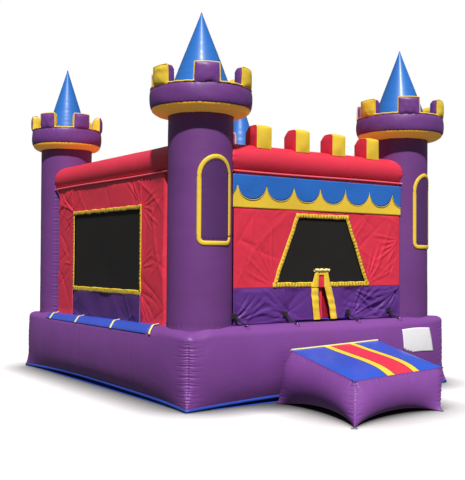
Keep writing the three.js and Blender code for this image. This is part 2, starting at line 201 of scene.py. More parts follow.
def grid_faces(nu, nv, wrap_u=False, wrap_v=False, base=0, flip=False):
    iu = np.arange(nu if wrap_u else nu - 1)
    iv = np.arange(nv if wrap_v else nv - 1)
    a, b = grid(iu, iv)
    a2, b2 = (a + 1) % nu, (b + 1) % nv
    quads = np.stack([a * nv + b, a2 * nv + b, a2 * nv + b2, a * nv + b2], -1).reshape(-1, 4) + base
    if flip:
        quads = quads[:, ::-1]
    return quads


def turned(name, radii, heights, segments, material, shape):
    """A closed surface of revolution about Z. shape(points, angle, height) may move its points."""
    angle = np.linspace(0, 2 * math.pi, segments, endpoint=False)
    r, h = np.asarray(radii, float), np.asarray(heights, float)
    a = angle[:, None]
    points = round_z(r[None], a, np.broadcast_to(h, (segments, len(h))))
    points = shape(points, np.broadcast_to(a, (segments, len(h))), points[..., 2])
    n = len(h)
    faces = grid_faces(segments, n, wrap_u=True).tolist()
    for column, flip in ((0, True), (n - 1, False)):
        ring = [i * n + column for i in range(segments)]
        if r[column] > 1e-6:
            faces.append(ring[::-1] if flip else ring)
    return new_object(name, points, faces, material)


def ring_solid(name, section, segments, material, shape):
    """A closed ring: a section of [radius, height] points, itself closed, turned about Z."""
    angle = np.linspace(0, 2 * math.pi, segments, endpoint=False)[:, None]
    s = np.asarray(section, float)
    points = round_z(s[None, :, 0], angle, np.broadcast_to(s[:, 1], (segments, len(s))))
    points = shape(points, np.broadcast_to(angle, points.shape[:2]))
    faces = grid_faces(segments, len(s), wrap_u=True, wrap_v=True).tolist()
    return new_object(name, points, faces, material)


def slab(name, front, thickness, material, mask=None, indices=None, normal=None):
    """A closed sheet: front is a grid of points, its back lies thickness behind along -normal."""
    nu, nv = front.shape[:2]
    if normal is None:
        du = np.gradient(front, axis=0)
        dv = np.gradient(front, axis=1)
        normal = np.cross(du, dv)
        normal /= np.linalg.norm(normal, axis=-1, keepdims=True) + 1e-12
    back = front - np.asarray(normal) * thickness
    mask = np.ones((nu - 1, nv - 1), bool) if mask is None else mask
    a, b = np.nonzero(mask)
    top = np.stack([a * nv + b, (a + 1) * nv + b, (a + 1) * nv + b + 1, a * nv + b + 1], -1)
    count = nu * nv
    faces = [*top.tolist(), *(top[:, ::-1] + count).tolist()]
    padded = np.zeros((nu + 1, nv + 1), bool)
    padded[1:-1, 1:-1] = mask
    sides = []
    for i, j in zip(a, b):
        p, q, r, s = i * nv + j, (i + 1) * nv + j, (i + 1) * nv + j + 1, i * nv + j + 1
        if not padded[i + 1, j]:
            sides.append((p, q))
        if not padded[i + 2, j + 1]:
            sides.append((q, r))
        if not padded[i + 1, j + 2]:
            sides.append((r, s))
        if not padded[i, j + 1]:
            sides.append((s, p))
    faces += [[x, x + count, y + count, y] for x, y in sides]
    if indices is not None:
        flat = indices[a, b]
        indices = np.concatenate([flat, flat, np.full(len(sides), flat[0] if len(flat) else 0)])
    verts = np.concatenate([front.reshape(-1, 3), back.reshape(-1, 3)])
    used = np.unique(np.concatenate([np.asarray(f) for f in faces]))
    renumber = np.full(len(verts), -1)
    renumber[used] = np.arange(len(used))
    faces = [renumber[f].tolist() for f in faces]
    return new_object(name, verts[used], faces, material, indices)


def tube(name, points, radius, material, sides=10, closed=False, flat=1.0, up=(0, 0, 1)):
    """A closed tube along points. flat squeezes its section along the second axis."""
    p = np.asarray(points, float)
    n = len(p)
    d = np.roll(p, -1, 0) - np.roll(p, 1, 0) if closed else np.gradient(p, axis=0)
    d /= np.linalg.norm(d, axis=1, keepdims=True) + 1e-12
    side = np.cross(d, np.broadcast_to(np.asarray(up, float), p.shape))
    weak = np.linalg.norm(side, axis=1) < 1e-3
    side[weak] = np.cross(d[weak], (0.3, 1, 0.2))
    side /= np.linalg.norm(side, axis=1, keepdims=True)
    lift = np.cross(side, d)
    t = np.linspace(0, 2 * math.pi, sides, endpoint=False)
    r = np.broadcast_to(np.asarray(radius, float), n)[:, None, None]
    across, over = np.cos(t)[None, :, None], np.sin(t)[None, :, None]
    ring = p[:, None] + r * (across * side[:, None] + flat * over * lift[:, None])
    faces = grid_faces(n, sides, wrap_u=closed, wrap_v=True, flip=True).tolist()
    if not closed:
        faces.append(list(range(sides)))
        faces.append([(n - 1) * sides + i for i in reversed(range(sides))])
    return new_object(name, ring, faces, material)


def join(name, pieces):
    """Several new pieces as one object, each keeping its material."""
    bpy.ops.object.select_all(action="DESELECT")
    for p in pieces:
        p.select_set(True)
    bpy.context.view_layer.objects.active = pieces[0]
    bpy.ops.object.join()
    pieces[0].name = name
    return pieces[0]


def graded(n, grade):
    """n numbers from -1 to 1, gathered towards the ends by a grade above 0."""
    t = np.linspace(-1, 1, n)
    return (1 - grade) * t + grade * np.sin(t * math.pi / 2)


def cube_shell(lines):
    """The surface of the cube from -1 to 1 as welded points, quads and the side that each quad lies on:
    0 -a, 1 +a, 2 -b, 3 +b, 4 -c, 5 +c. Its points lie on the three lists of lines."""
    verts, faces, sides, base = [], [], [], 0
    for axis in range(3):
        first, second = [k for k in range(3) if k != axis]
        for end in (0, 1):
            p, q = grid(lines[first], lines[second])
            block = np.zeros((*p.shape, 3))
            block[..., first], block[..., second] = p, q
            block[..., axis] = 2 * end - 1
            flip = (end == 0) != (axis == 1)
            f = grid_faces(*p.shape, base=base, flip=flip)
            verts.append(block.reshape(-1, 3))
            faces.append(f)
            sides.append(np.full(len(f), axis * 2 + end))
            base += p.size
    verts = np.concatenate(verts)
    keys = np.round(verts * 1e7).astype(np.int64)
    _, first_at, inverse = np.unique(keys, axis=0, return_index=True, return_inverse=True)
    return verts[first_at], inverse.reshape(-1)[np.concatenate(faces)], np.concatenate(sides)


def point_normals(points, faces):
    """Unit normals of the points of a mesh of quads."""
    p = points[faces]
    n = np.cross(p[:, 2] - p[:, 0], p[:, 3] - p[:, 1])
    total = np.zeros_like(points)
    for k in range(4):
        np.add.at(total, faces[:, k], n)
    return total / (np.linalg.norm(total, axis=1, keepdims=True) + 1e-12)


def overlay(name, points, faces, chosen, lift, thickness, material, indices=None):
    """A closed sheet that lies on the chosen faces of a skin, lifted a little off it."""
    normals = point_normals(points, faces)
    part = faces[chosen]
    used = np.unique(part)
    renumber = np.full(len(points), -1)
    renumber[used] = np.arange(len(used))
    part = renumber[part]
    n = len(used)
    outer = points[used] + normals[used] * lift
    inner = points[used] + normals[used] * (lift - thickness)
    edges = np.concatenate([part[:, [k, (k + 1) % 4]] for k in range(4)])
    keys = edges[:, 0] * n + edges[:, 1]
    back = edges[:, 1] * n + edges[:, 0]
    rim = edges[~np.isin(keys, back)]
    walls = np.stack([rim[:, 1], rim[:, 0], rim[:, 0] + n, rim[:, 1] + n], 1)
    every = np.concatenate([part, part[:, ::-1] + n, walls])
    if indices is not None:
        inside = np.asarray(indices)
        indices = np.concatenate([inside, inside, np.full(len(walls), inside[0])])
    return new_object(name, np.concatenate([outer, inner]), every, material, indices)


# ---------------------------------------------------------------- materials


def nodes_of(name):
    """A new material, its tree, its shader and its object coordinates."""
    material = bpy.data.materials.new(name)
    material.use_nodes = True
    tree = material.node_tree
    return material, tree, tree.nodes["Principled BSDF"], add_node(tree, "TexCoord").outputs["Object"]


def put(tree, socket, value):
    """Gives a socket a value, or links it where the value is another node's output."""
    if isinstance(value, bpy.types.NodeSocket):
        tree.links.new(value, socket)
    else:
        socket.default_value = value


def add_node(tree, kind, **inputs):
    node = tree.nodes.new(f"ShaderNode{kind}")
    for key, value in inputs.items():
        put(tree, node.inputs[key.replace("_", " ")], value)
    return node


def maths(tree, operation, *values):
    node = add_node(tree, "Math")
    node.operation = operation
    for socket, value in zip(node.inputs, values):
        put(tree, socket, value)
    return node.outputs[0]


def ramp(tree, share, first, second, start=0.0, stop=1.0):
    """A colour that runs from the first to the second as the share goes from start to stop."""
    node = add_node(tree, "ValToRGB", Fac=share)
    low, high = node.color_ramp.elements
    low.position, high.position = start, stop
    low.color, high.color = first, second
    return node.outputs["Color"]


def waves(tree, coords, pitch):
    """The sum of a sine wave along each axis."""
    along = [maths(tree, "SINE", maths(tree, "MULTIPLY", axis, 2 * math.pi / pitch))
             for axis in add_node(tree, "SeparateXYZ", Vector=coords).outputs]
    return maths(tree, "ADD", maths(tree, "ADD", along[0], along[1]), along[2])


def shaded(rgb, k):
    return (*(min(1.0, c * k) for c in rgb), 1)


def srgb(code):
    channels = [int(code[i:i + 2], 16) / 255 for i in (0, 2, 4)]
    return tuple(c / 12.92 if c <= 0.04045 else ((c + 0.055) / 1.055) ** 2.4 for c in channels)


def tone(tree, coords, rgb, spread, scale=1.1):
    """The base colour, a little lighter and darker over broad cloudy patches and fine dust."""
    cloud = add_node(tree, "TexNoise", Vector=coords, Scale=scale, Detail=4.0, Roughness=0.6)
    dust = add_node(tree, "TexNoise", Vector=coords, Scale=38.0, Detail=5.0, Roughness=0.7)
    mix = add_node(tree, "Mix")
    mix.data_type, mix.blend_type = "RGBA", "MULTIPLY"
    patches = ramp(tree, cloud.outputs["Fac"], shaded(rgb, 1 - spread), shaded(rgb, 1 + spread), 0.3, 0.72)
    for key, value in (("Factor", spread), ("A", patches), ("B", dust.outputs["Color"])):
        put(tree, mix.inputs[key], value)
    return mix.outputs["Result"]


def vinyl(name, code, rough=0.36, spread=0.10, wrinkle=0.25, wrinkle_scale=7.0, coat=0.12):
    """PVC-coated fabric: a fine crossed scrim under a semi-gloss skin with soft wrinkles."""
    material, tree, shader, coords = nodes_of(name)
    scrim = add_node(tree, "Bump", Strength=0.10, Distance=0.0004, Height=waves(tree, coords, SCRIM_PITCH))
    folds = add_node(tree, "TexNoise", Vector=coords, Scale=wrinkle_scale, Detail=5.0, Roughness=0.55,
                     Distortion=0.8)
    bump = add_node(tree, "Bump", Strength=wrinkle, Distance=0.012, Height=folds.outputs["Fac"],
                    Normal=scrim.outputs["Normal"])
    gloss = add_node(tree, "TexNoise", Vector=coords, Scale=3.5, Detail=3.0)
    patchy = maths(tree, "MULTIPLY_ADD", gloss.outputs["Fac"], 0.22, rough - 0.11)
    for key, value in (("Base Color", tone(tree, coords, srgb(code), spread)), ("Roughness", patchy),
                       ("Normal", bump.outputs["Normal"]), ("Coat Weight", coat), ("Coat Roughness", 0.25),
                       ("Specular IOR Level", 0.35)):
        put(tree, shader.inputs[key], value)
    return material


def netting(name, code):
    """Knitted safety net: dark threads on a slant, a little of what is behind shows through."""
    material, tree, shader, coords = nodes_of(name)
    x, y, z = add_node(tree, "SeparateXYZ", Vector=coords).outputs
    flat = maths(tree, "ADD", x, y)
    slants = []
    for operation in ("ADD", "SUBTRACT"):
        phase = maths(tree, "MULTIPLY", maths(tree, operation, flat, z), math.pi / NET_PITCH)
        slants.append(maths(tree, "ABSOLUTE", maths(tree, "SINE", phase)))
    cell = maths(tree, "MULTIPLY", *slants)
    bump = add_node(tree, "Bump", Strength=0.4, Distance=0.001, Height=cell)
    bump.invert = True
    colour = ramp(tree, cell, shaded(srgb(code), 1.5), shaded(srgb(code), 0.35))
    for key, value in (("Base Color", colour), ("Normal", bump.outputs["Normal"]), ("Roughness", 0.75),
                       ("Alpha", 1 - NET_OPEN)):
        put(tree, shader.inputs[key], value)
    return material


def ribbed(name, code, pitch=0.004):
    """Woven webbing: ribs across a dull band."""
    material, tree, shader, coords = nodes_of(name)
    bump = add_node(tree, "Bump", Strength=0.6, Distance=0.0008, Height=waves(tree, coords, pitch))
    for key, value in (("Base Color", tone(tree, coords, srgb(code), 0.2, 20.0)), ("Roughness", 0.7),
                       ("Normal", bump.outputs["Normal"])):
        put(tree, shader.inputs[key], value)
    return material


def plated(name, code):
    """Plated steel with fine scratches."""
    material, tree, shader, coords = nodes_of(name)
    scratch = add_node(tree, "TexNoise", Vector=coords, Scale=240.0, Detail=4.0)
    rough = maths(tree, "MULTIPLY_ADD", scratch.outputs["Fac"], 0.2, 0.15)
    for key, value in (("Base Color", tone(tree, coords, srgb(code), 0.08, 60.0)), ("Roughness", rough),
                       ("Metallic", 1.0)):
        put(tree, shader.inputs[key], value)
    return material


SCRIM_PITCH = 0.0022  # of the crossed threads under the vinyl
NET_PITCH, NET_OPEN = 0.011, 0.10  # of the safety net's cells, and the share that one sees through
PURPLE = vinyl("vinyl purple", "804898", rough=0.46, coat=0.04)
PANEL = vinyl("panel purple", "63358c", rough=0.50, wrinkle=0.4, wrinkle_scale=5.0, coat=0.03)
# painted shade: a darker copy of the panel purple, for the lower panels on the sides and rear
PANEL_PAINTED_SHADE = vinyl("side panel purple, painted shade", "553078", rough=0.5, wrinkle=0.5, wrinkle_scale=5.0, coat=0.03)
COLUMN = vinyl("column purple", "754289", rough=0.46, wrinkle=0.18, coat=0.04)
DEEP = vinyl("vinyl deep purple", "76428e", rough=0.44, coat=0.05)
DARK = vinyl("patch purple", "5c3570", rough=0.4)
RED = vinyl("vinyl red", "e2364e", rough=0.44, spread=0.07, coat=0.05)
SHEET_RED = vinyl("wall red", "e83850", rough=0.46, spread=0.08, wrinkle=0.5, wrinkle_scale=4.0)
# painted shade: a darker red for the part of the door lining that lies back in the fold
LINING_PAINTED_SHADE = vinyl("lining red, painted shade", "a01c30", rough=0.5)
YELLOW = vinyl("vinyl yellow", "fbd543", rough=0.4, spread=0.07)
PIPING = vinyl("piping yellow", "fff0a0", rough=0.45, spread=0.05)
ROSE = vinyl("piping rose", "f4687c", rough=0.4, spread=0.05)
BLUE = vinyl("vinyl blue", "2c74cc", rough=0.48, wrinkle=0.15, coat=0.20)
NAVY = vinyl("vinyl navy", "2f5fcf", rough=0.4)
LIP = vinyl("sheet blue", "2c50b8", rough=0.45)
BANNER_BLUE = vinyl("banner blue", "2f74d2", rough=0.4)
STEP_BLUE = vinyl("step blue", "2f58cc")
LEDGE_BLUE = vinyl("ledge blue", "3a56c4", rough=0.42)
WHITE = vinyl("blank label", "eeeef4", rough=0.5, spread=0.04)
NET = netting("netting", "161412")
WEB = ribbed("webbing", "1c1a1e")
GREY_WEB = ribbed("grey webbing", "8a8790")
THREAD = ribbed("thread", "6b5420", pitch=0.002)
DARK_THREAD = ribbed("dark thread", "2b2140", pitch=0.002)
STEEL = plated("steel", "c4c7cc")
# painted glow: the collar's yellow gives off a faint orange light of its own, though it is no lamp
COLLAR_PAINTED_GLOW = vinyl("collar yellow with painted glow", "e6ac2c", rough=0.45)
glow = COLLAR_PAINTED_GLOW.node_tree.nodes["Principled BSDF"]  # painted glow: an emission stands in for sunlight shining through the thin cloth of the overhang
glow.inputs["Emission Color"].default_value = (0.95, 0.46, 0.07, 1)
glow.inputs["Emission Strength"].default_value = 0.20

# ---------------------------------------------------------------- camera, light and stage

CAMERA_AT = (-6.408, -9.425, 1.589)
HEADING, PITCH, ROLL = 34.83, 1.31, 0.35
FOCAL_SHARE = 818.9 / 480  # focal length over the picture's long side
SUN_AZIMUTH, SUN_HEIGHT, SUN_SPREAD, SUN_POWER = 31, 53, 2.5, 4.5
SKY_GLOW, GROUND_GLOW = 0.17, 0.11


def make_camera():
    data = bpy.data.cameras.new("camera")
    camera = bpy.data.objects.new("camera", data)
    bpy.context.scene.collection.objects.link(camera)
    data.sensor_fit = "AUTO"
    data.sensor_width = 36.0
    data.lens = 36.0 * FOCAL_SHARE
    data.clip_end = 200
    turn = Matrix.Rotation(math.radians(-HEADING), 4, "Z")
    tilt = Matrix.Rotation(math.radians(90 + PITCH), 4, "X")
    roll = Matrix.Rotation(math.radians(ROLL), 4, "Z")
    camera.matrix_world = Matrix.Translation(CAMERA_AT) @ turn @ tilt @ roll
    bpy.context.scene.camera = camera


def make_light():
    """A soft high sun from behind the camera, a dim sky and a little light from the ground."""
    world = bpy.data.worlds.new("studio")
    bpy.context.scene.world = world
    world.use_nodes = True
    tree = world.node_tree
    tree.nodes.clear()
    up = add_node(tree, "SeparateXYZ", Vector=add_node(tree, "TexCoord").outputs["Generated"]).outputs[2]
    ground = (GROUND_GLOW, GROUND_GLOW * 0.96, GROUND_GLOW * 0.98, 1)
    sky = (SKY_GLOW * 0.94, SKY_GLOW * 0.97, SKY_GLOW * 1.05, 1)
    colour = ramp(tree, maths(tree, "MULTIPLY_ADD", up, 0.5, 0.5), ground, sky, 0.35, 0.65)
    glow = add_node(tree, "Background", Color=colour)
    plain = add_node(tree, "Background", Color=(1.0, 1.0, 1.0, 1))
    mix = add_node(tree, "MixShader", Fac=add_node(tree, "LightPath").outputs["Is Camera Ray"])
    put(tree, mix.inputs[1], glow.outputs[0])
    put(tree, mix.inputs[2], plain.outputs[0])
    add_node(tree, "OutputWorld", Surface=mix.outputs[0])
    data = bpy.data.lights.new("sun", "SUN")
    data.energy, data.color, data.angle = SUN_POWER, (1.0, 0.975, 0.94), math.radians(SUN_SPREAD)
    lamp = bpy.data.objects.new("sun", data)
    turn = Matrix.Rotation(math.radians(-SUN_AZIMUTH), 4, "Z")
    lamp.matrix_world = turn @ Matrix.Rotation(math.radians(90 - SUN_HEIGHT), 4, "X")
    bpy.context.scene.collection.objects.link(lamp)
    bpy.context.scene.view_settings.view_transform = "Standard"


def make_floor():
    """The pale floor: its colour is darkened softly where it meets the house, a painted contact shadow, and its
    bounce doesn't tint the sides.
    """
    material, tree, shader, coords = nodes_of("floor")
    pale = tone(tree, coords, (0.965, 0.960, 0.970), 0.008, 0.4)
    # painted contact shadow: an ambient occlusion node darkens the floor's colour near the house
    near = add_node(tree, "AmbientOcclusion", Color=pale, Distance=0.55)
    near.samples = 12
    painted_contact_shadow = add_node(tree, "Gamma", Color=near.outputs["Color"], Gamma=2.2)
    put(tree, shader.inputs["Base Color"], painted_contact_shadow.outputs["Color"])
    put(tree, shader.inputs["Roughness"], 0.9)
    size = 60
    corners = [(-size, -size, 0), (size, -size, 0), (size, size, 0), (-size, size, 0)]
    floor = new_object("floor", corners, [[0, 1, 2, 3]], material)
    floor.visible_diffuse = False
    floor.visible_glossy = False


# ---------------------------------------------------------------- the air bed


def belly(share):
    """How far a side face swells at a share of its height."""
    return np.clip(4 * share * (1 - share), 0, 1)


def side_share(a, c):
    """1 on the sides where a is -1 or 1, and on the underside a share that falls off smoothly from them."""
    return np.where(c < -0.999, np.abs(a) ** 3, np.abs(a) > 0.999)


def air_box(half_x, half_y, low, high, cells, round_side, round_top, bulge, arch, pitch, depth, tip, reach):
    """An inflated box: round top edges, swelling sides, gathered corner seams, and a foot that lifts between
    its corner tips. Returns its points, its quads and each point's share of the height."""
    cube, faces, sides = cube_shell([graded(n, 0.55) for n in cells])
    a, b, c = cube.T
    height = high - low
    x, y, z = a * half_x, b * half_y, low + (c + 1) / 2 * height
    share = (z - low) / height
    side_r = np.maximum(round_side * (0.15 + 0.85 * smooth(0.0, tip / height, z - low)), 0.004)
    nearest = (np.abs(a) * np.abs(b)) ** 5
    round_top = round_top * (1 - 0.45 * nearest)
    qx = np.clip(x, -half_x + side_r, half_x - side_r)
    qy = np.clip(y, -half_y + side_r, half_y - side_r)
    qz = np.minimum(z, high - round_top)
    d = np.stack([(x - qx) / side_r, (y - qy) / side_r, (z - qz) / round_top], 1)
    length = np.linalg.norm(d, axis=1)
    d[length > 1e-9] /= length[length > 1e-9, None]
    x, y, z = qx + d[:, 0] * side_r, qy + d[:, 1] * side_r, qz + d[:, 2] * round_top
    on_x, on_y = np.abs(a) > 0.999, np.abs(b) > 0.999
    swell = belly(share) * bulge - 0.030 * (1 - share) ** 6
    x = x + np.sign(a) * swell * side_share(a, c) * (1 - np.abs(b) ** 9)
    y = y + np.sign(b) * swell * side_share(b, c) * (1 - np.abs(a) ** 9)
    # fine pleats run out from the corner seams
    seam = np.where(on_x, half_y * (1 - np.abs(b)), half_x * (1 - np.abs(a)))
    upright = on_x | on_y
    level = np.clip(smooth(0.02, 0.12, share) * (1 - smooth(0.80, 0.95, share)), 0, 1)
    run = 0.030 + 0.110 * puckers(z, 2.3 * pitch, 3.0)
    pleat = depth * puckers(z + 0.10 * seam, pitch, 1.0) * bell(seam, run)
    pull = np.where(upright, (pleat + 0.5 * depth * bell(seam, 0.010)) * level, 0)
    x -= np.sign(a) * pull * 0.75
    y -= np.sign(b) * pull * 0.75
    corner = (np.abs(a) * np.abs(b)) ** 10
    tip_weight = (1 - smooth(0, tip, z - low)) ** 2 * corner
    x += np.sign(a) * reach * tip_weight
    y += np.sign(b) * reach * tip_weight
    lift = arch * (1 - a ** 2 * b ** 2) * (1 - smooth(0, 0.35, share))
    z = z + np.where(upright | (c < -0.999), lift, 0)
    return np.stack([x, y, z], 1), faces, share


def ledge_drop(x, y):
    """How far the bed's top sags outside the left wall and at the corner nearest the camera."""
    back = smooth(-BED_Y, BED_Y, y)
    left = smooth(-WALL_X + 0.16, -WALL_X - 0.02, x)
    right = smooth(WALL_X - 0.02, BED_X, x)
    rear = smooth(WALL_Y - 0.02, BED_Y, y)
    corner = np.exp(-((x + BED_X) ** 2 + (y + BED_Y) ** 2) / 0.28 ** 2)
    return np.maximum((0.022 + 0.034 * back) * left, 0.03 * back * np.maximum(right, rear)) + 0.045 * corner


def make_bed():
    points, faces, share = air_box(
        BED_X - 0.016, BED_Y - 0.016, bed_low.z, BED_TOP, cells=(190, 210, 170), round_side=0.085,
        round_top=0.115, bulge=0.068, arch=0.055, pitch=0.031, depth=0.0068, tip=0.26, reach=0.020)
    x, y, z = points.T
    z = z - ledge_drop(x, y) * smooth(0.30, 1.0, share)
    z = z + 0.004 * ripple(points, 0.9, 5) * share
    # upright seams of the front and back faces, shallow ones on the sides
    for place in (-0.745, 0.745):
        line = bell(x - place, 0.012) * (np.abs(y) > BED_Y - 0.2)
        side = 0.35 + 0.65 * puckers(z, 0.05, 3)
        y = y - np.sign(y) * 0.007 * line * side * smooth(0, 0.1, share)
    for place in (-1.1, 0.35, 1.55):
        line = bell(y - place, 0.02) * (np.abs(x) > BED_X - 0.2)
        x = x - np.sign(x) * 0.0035 * line * smooth(0, 0.1, share)
    # the skin lies flat under the deflation flap
    flap_low, flap_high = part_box("deflation_flap")
    off = np.abs(x - (flap_low.x + flap_high.x) / 2)
    flat = (1 - smooth(0.23, 0.38, off)) * smooth(flap_low.z - 0.14, flap_low.z - 0.02, z)
    flat = flat * (1 - smooth(flap_high.z + 0.04, flap_high.z + 0.16, z)) * (y > BED_Y - 0.2)
    y = y - flat * np.maximum(y - (flap_low.y - 0.002), 0)
    points = np.stack([x, y, z], 1)
    bed = new_object("air_bed", points, faces, PURPLE)
    keep(bed, replaces="base_bed")
    skin = BVHTree.FromPolygons(points.tolist(), faces.tolist())

    # seam threads along the two front seams
    threads = []
    for k, place in enumerate((-0.745, 0.745)):
        z = np.linspace(0.10, 0.76, 60)
        y = [on_skin(skin, (place, -BED_Y + 0.5, level), (0, -1, 0)).y + 0.001 for level in z]
        path = np.stack([np.full_like(z, place), y, z], 1)
        threads.append(tube(f"thread_{k}", path, 0.0035, PURPLE, 6))
    keep(join("front_seams", threads))

    # the ground sheet: its blue edge is turned up along the foot of the bed
    n = 90
    path = []
    tips = [(-1, -1), (1, -1), (1, 1), (-1, 1)]
    half_x, half_y = BED_X - 0.008, BED_Y - 0.008
    for (ax, ay), (bx, by) in zip(tips, tips[1:] + tips[:1]):
        for t in np.linspace(0, 1, n, endpoint=False):
            s = 2 * t - 1
            lift = 0.052 * (1 - s ** 2) + 0.004 * math.sin(9 * t + ax) * (1 - s ** 2)
            inward = 0.034 * (1 - abs(s) ** 9)
            x = (ax + (bx - ax) * t) * half_x
            y = (ay + (by - ay) * t) * half_y
            if ax == bx:
                x -= ax * inward
            else:
                y -= ay * inward
            path.append((x, y, 0.018 + lift))
    edge = tube("ground_sheet_edge", path, 0.020, LIP, 8, closed=True)
    plate = flat_plate("ground_sheet_plate", BED_X - 0.03, BED_Y - 0.03, 0.0, 0.006)
    keep(join("ground_sheet", [plate, edge]), replaces="ground_sheet")

    # the baffles hang inside the bed, clear of its skin
    node_low, node_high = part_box("floor_baffles")
    webs = []
    for x in np.linspace(node_low.x + 0.024, node_high.x - 0.024, 6):
        gy, gt = grid(np.linspace(-BED_Y + 0.20, BED_Y - 0.20, 60), np.linspace(0, 1, 12))
        gz = node_low.z + 0.06 + (node_high.z - 0.14 - node_low.z) * gt
        sway = x + 0.012 * np.sin(math.pi * gt) * ripple(np.stack([gy, gz, 0 * gy + x], -1), 0.8, 44)
        webs.append(slab("web", np.stack([sway, gy, gz], -1), 0.004, PURPLE, normal=(1, 0, 0)))
    keep(join("baffle_webs", webs), replaces="floor_baffles")
    return skin


def on_skin(skin, start, direction):
    """Where a line from inside the bed meets its skin."""
    return skin.ray_cast(Vector(start), Vector(direction))[0]


def flat_plate(name, half_x, half_y, low, high):
    cube, faces, _ = cube_shell([graded(n, 0) for n in (12, 12, 2)])
    points = np.stack([cube[:, 0] * half_x, cube[:, 1] * half_y, low + (cube[:, 2] + 1) / 2 * (high - low)], 1)
    return new_object(name, points, faces, LIP)


def make_floor_sheet():
    """The bounce floor: long quilted tubes between the baffles."""
    low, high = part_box("bounce_floor")
    x = np.linspace(low.x, high.x, 260)
    y = np.linspace(low.y, high.y, 90)
    gx, gy = grid(x, y)
    tubes = np.abs(np.cos(math.pi * gx / 0.28)) ** 0.5
    z = high.z - 0.014 + 0.012 * tubes + 0.001 * flat_ripple(gx, gy, 0.4, 8)
    middle_x, middle_y = cell_middles(gx), cell_middles(gy)
    mask = np.hypot(np.abs(middle_x) - TOWER_X, np.abs(middle_y) - TOWER_Y) > COLUMN_R + 0.02
    sheet = slab("bounce_floor", np.stack([gx, gy, z], -1), 0.010, NAVY, mask, normal=(0, 0, 1))
    keep(sheet, replaces="bounce_floor")


# ---------------------------------------------------------------- towers


def column_shape(seed, seams):
    """Soft dents, gathers at the foot, the neck and the seams where the walls are sewn on."""
    foot, top = column_low.z, column_high.z

    def shape(points, angle, height):
        radius = np.linalg.norm(points[..., :2], axis=-1)
        inward = 0.0022 * ripple(points, 0.8, seed)
        inward = inward + 0.0006 * ripple(points * (1, 1, 2), 0.45, seed + 1)
        ends = bell(height - foot, 0.05) + bell(height - collar_low.z, 0.05)
        inward = inward + 0.006 * ends * puckers(angle * COLUMN_R, 0.05, seed)
        for k, place in enumerate(seams):
            off = off_angle(angle, place)
            span = smooth(WALL_TOP + 0.20, WALL_TOP + 0.05, height)
            gather = 0.0075 * bell(off * COLUMN_R, 0.045) * puckers(height, 0.042, seed + k)
            inward = inward + gather * span + 0.004 * bell(off * COLUMN_R, 0.008) * span
        wanted = radius - 0.0015 - np.maximum(inward, -0.0015)
        return narrowed(points, np.where(radius > 0.05, wanted / np.maximum(radius, 1e-6), 1))
    return shape


def make_tower(name, sx, sy, turn, all_purple, seed):
    place = Vector((sx * TOWER_X, sy * TOWER_Y, 0))
    foot, top = column_low.z, column_high.z
    heights = np.concatenate([[foot - 0.07, foot - 0.066], np.linspace(foot - 0.05, top - 0.004, 216), [top]])
    radii = np.full(len(heights), COLUMN_R)
    radii[0] -= 0.012
    # where the two walls are sewn on, as angles from -Y towards +X
    out = math.asin((TOWER_Y - WALL_Y) / COLUMN_R * -1)
    toward_x = math.pi / 2 if sx < 0 else -math.pi / 2
    front_seam = toward_x + (out if sx < 0 else -out) * (1 if sy < 0 else -1)
    side_seam = (math.pi if sy < 0 else 0) + (out if (sx < 0) == (sy < 0) else -out)
    column = turned(f"column_{name}", radii, heights, 150, COLUMN,
                    column_shape(seed, (front_seam, side_seam)))
    keep(column, replaces=f"column_{name}", at=place)

    # yellow underside: a fat roll that narrows to the column
    steps = np.linspace(0, 1, 22)
    head_r = (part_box(f"head_{name}")[1].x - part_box(f"head_{name}")[0].x) / 2
    roll_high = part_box(f"collar_{name}")[1]
    reach = roll_high.x - sx * TOWER_X
    rise = roll_high.z - collar_low.z
    radius = COLUMN_R + 0.004 + (reach - COLUMN_R - 0.008) * np.sin(steps * math.pi / 2) ** 1.1
    level = collar_low.z + rise * (1 - np.cos(steps * math.pi / 2))
    radius = np.concatenate([radius, [reach - 0.02, COLUMN_R + 0.006]])
    level = np.concatenate([level, [roll_high.z, roll_high.z]])

    def gather(points, angle):
        r = np.linalg.norm(points[..., :2], axis=-1)
        near = smooth(COLUMN_R + 0.07, COLUMN_R, r)
        moved = points.copy()
        moved[..., 2] += (0.005 * near * puckers(angle * COLUMN_R, 0.045, seed)
                          + 0.002 * ripple(points, 0.2, seed))
        return moved

    collar = ring_solid(f"collar_{name}", np.stack([radius, level], 1), 120, COLLAR_PAINTED_GLOW, gather)
    keep(collar, replaces=f"collar_{name}", at=place)
    make_head(name, place, turn, all_purple, seed, head_r)

    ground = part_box(f"spire_{name}")[0].z
    wide = (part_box(f"spire_{name}")[1].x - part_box(f"spire_{name}")[0].x) / 2
    t = np.concatenate([np.linspace(0, 0.97, 90), np.linspace(0.975, 1, 8)])
    radii = wide * (1 - t) * (1 + 0.05 * np.sin(math.pi * t)) + 0.002
    radii = np.maximum(radii, 0.012 * np.sqrt(np.clip(1 - ((t - 0.965) / 0.035) ** 2, 0, 1)) * (t > 0.965))
    radii[-1] = 0.0005
    heights = ground + (SPIRE_TOP - ground) * t

    def soft(points, angle, height):
        share = (height - ground) / (SPIRE_TOP - ground)
        rings = 0.0016 * ripple(points * (0.3, 0.3, 4), 0.25, seed + 9) * (1 - share)
        return narrowed(points, 1 - rings / 0.3)

    if name == "front_left":
        heights = ground + (heights - ground) * 0.967  # this spire stands a little lower
    spire = turned(f"spire_{name}", radii, heights, 96, BLUE, soft)
    keep(spire, replaces=f"spire_{name}", at=place)


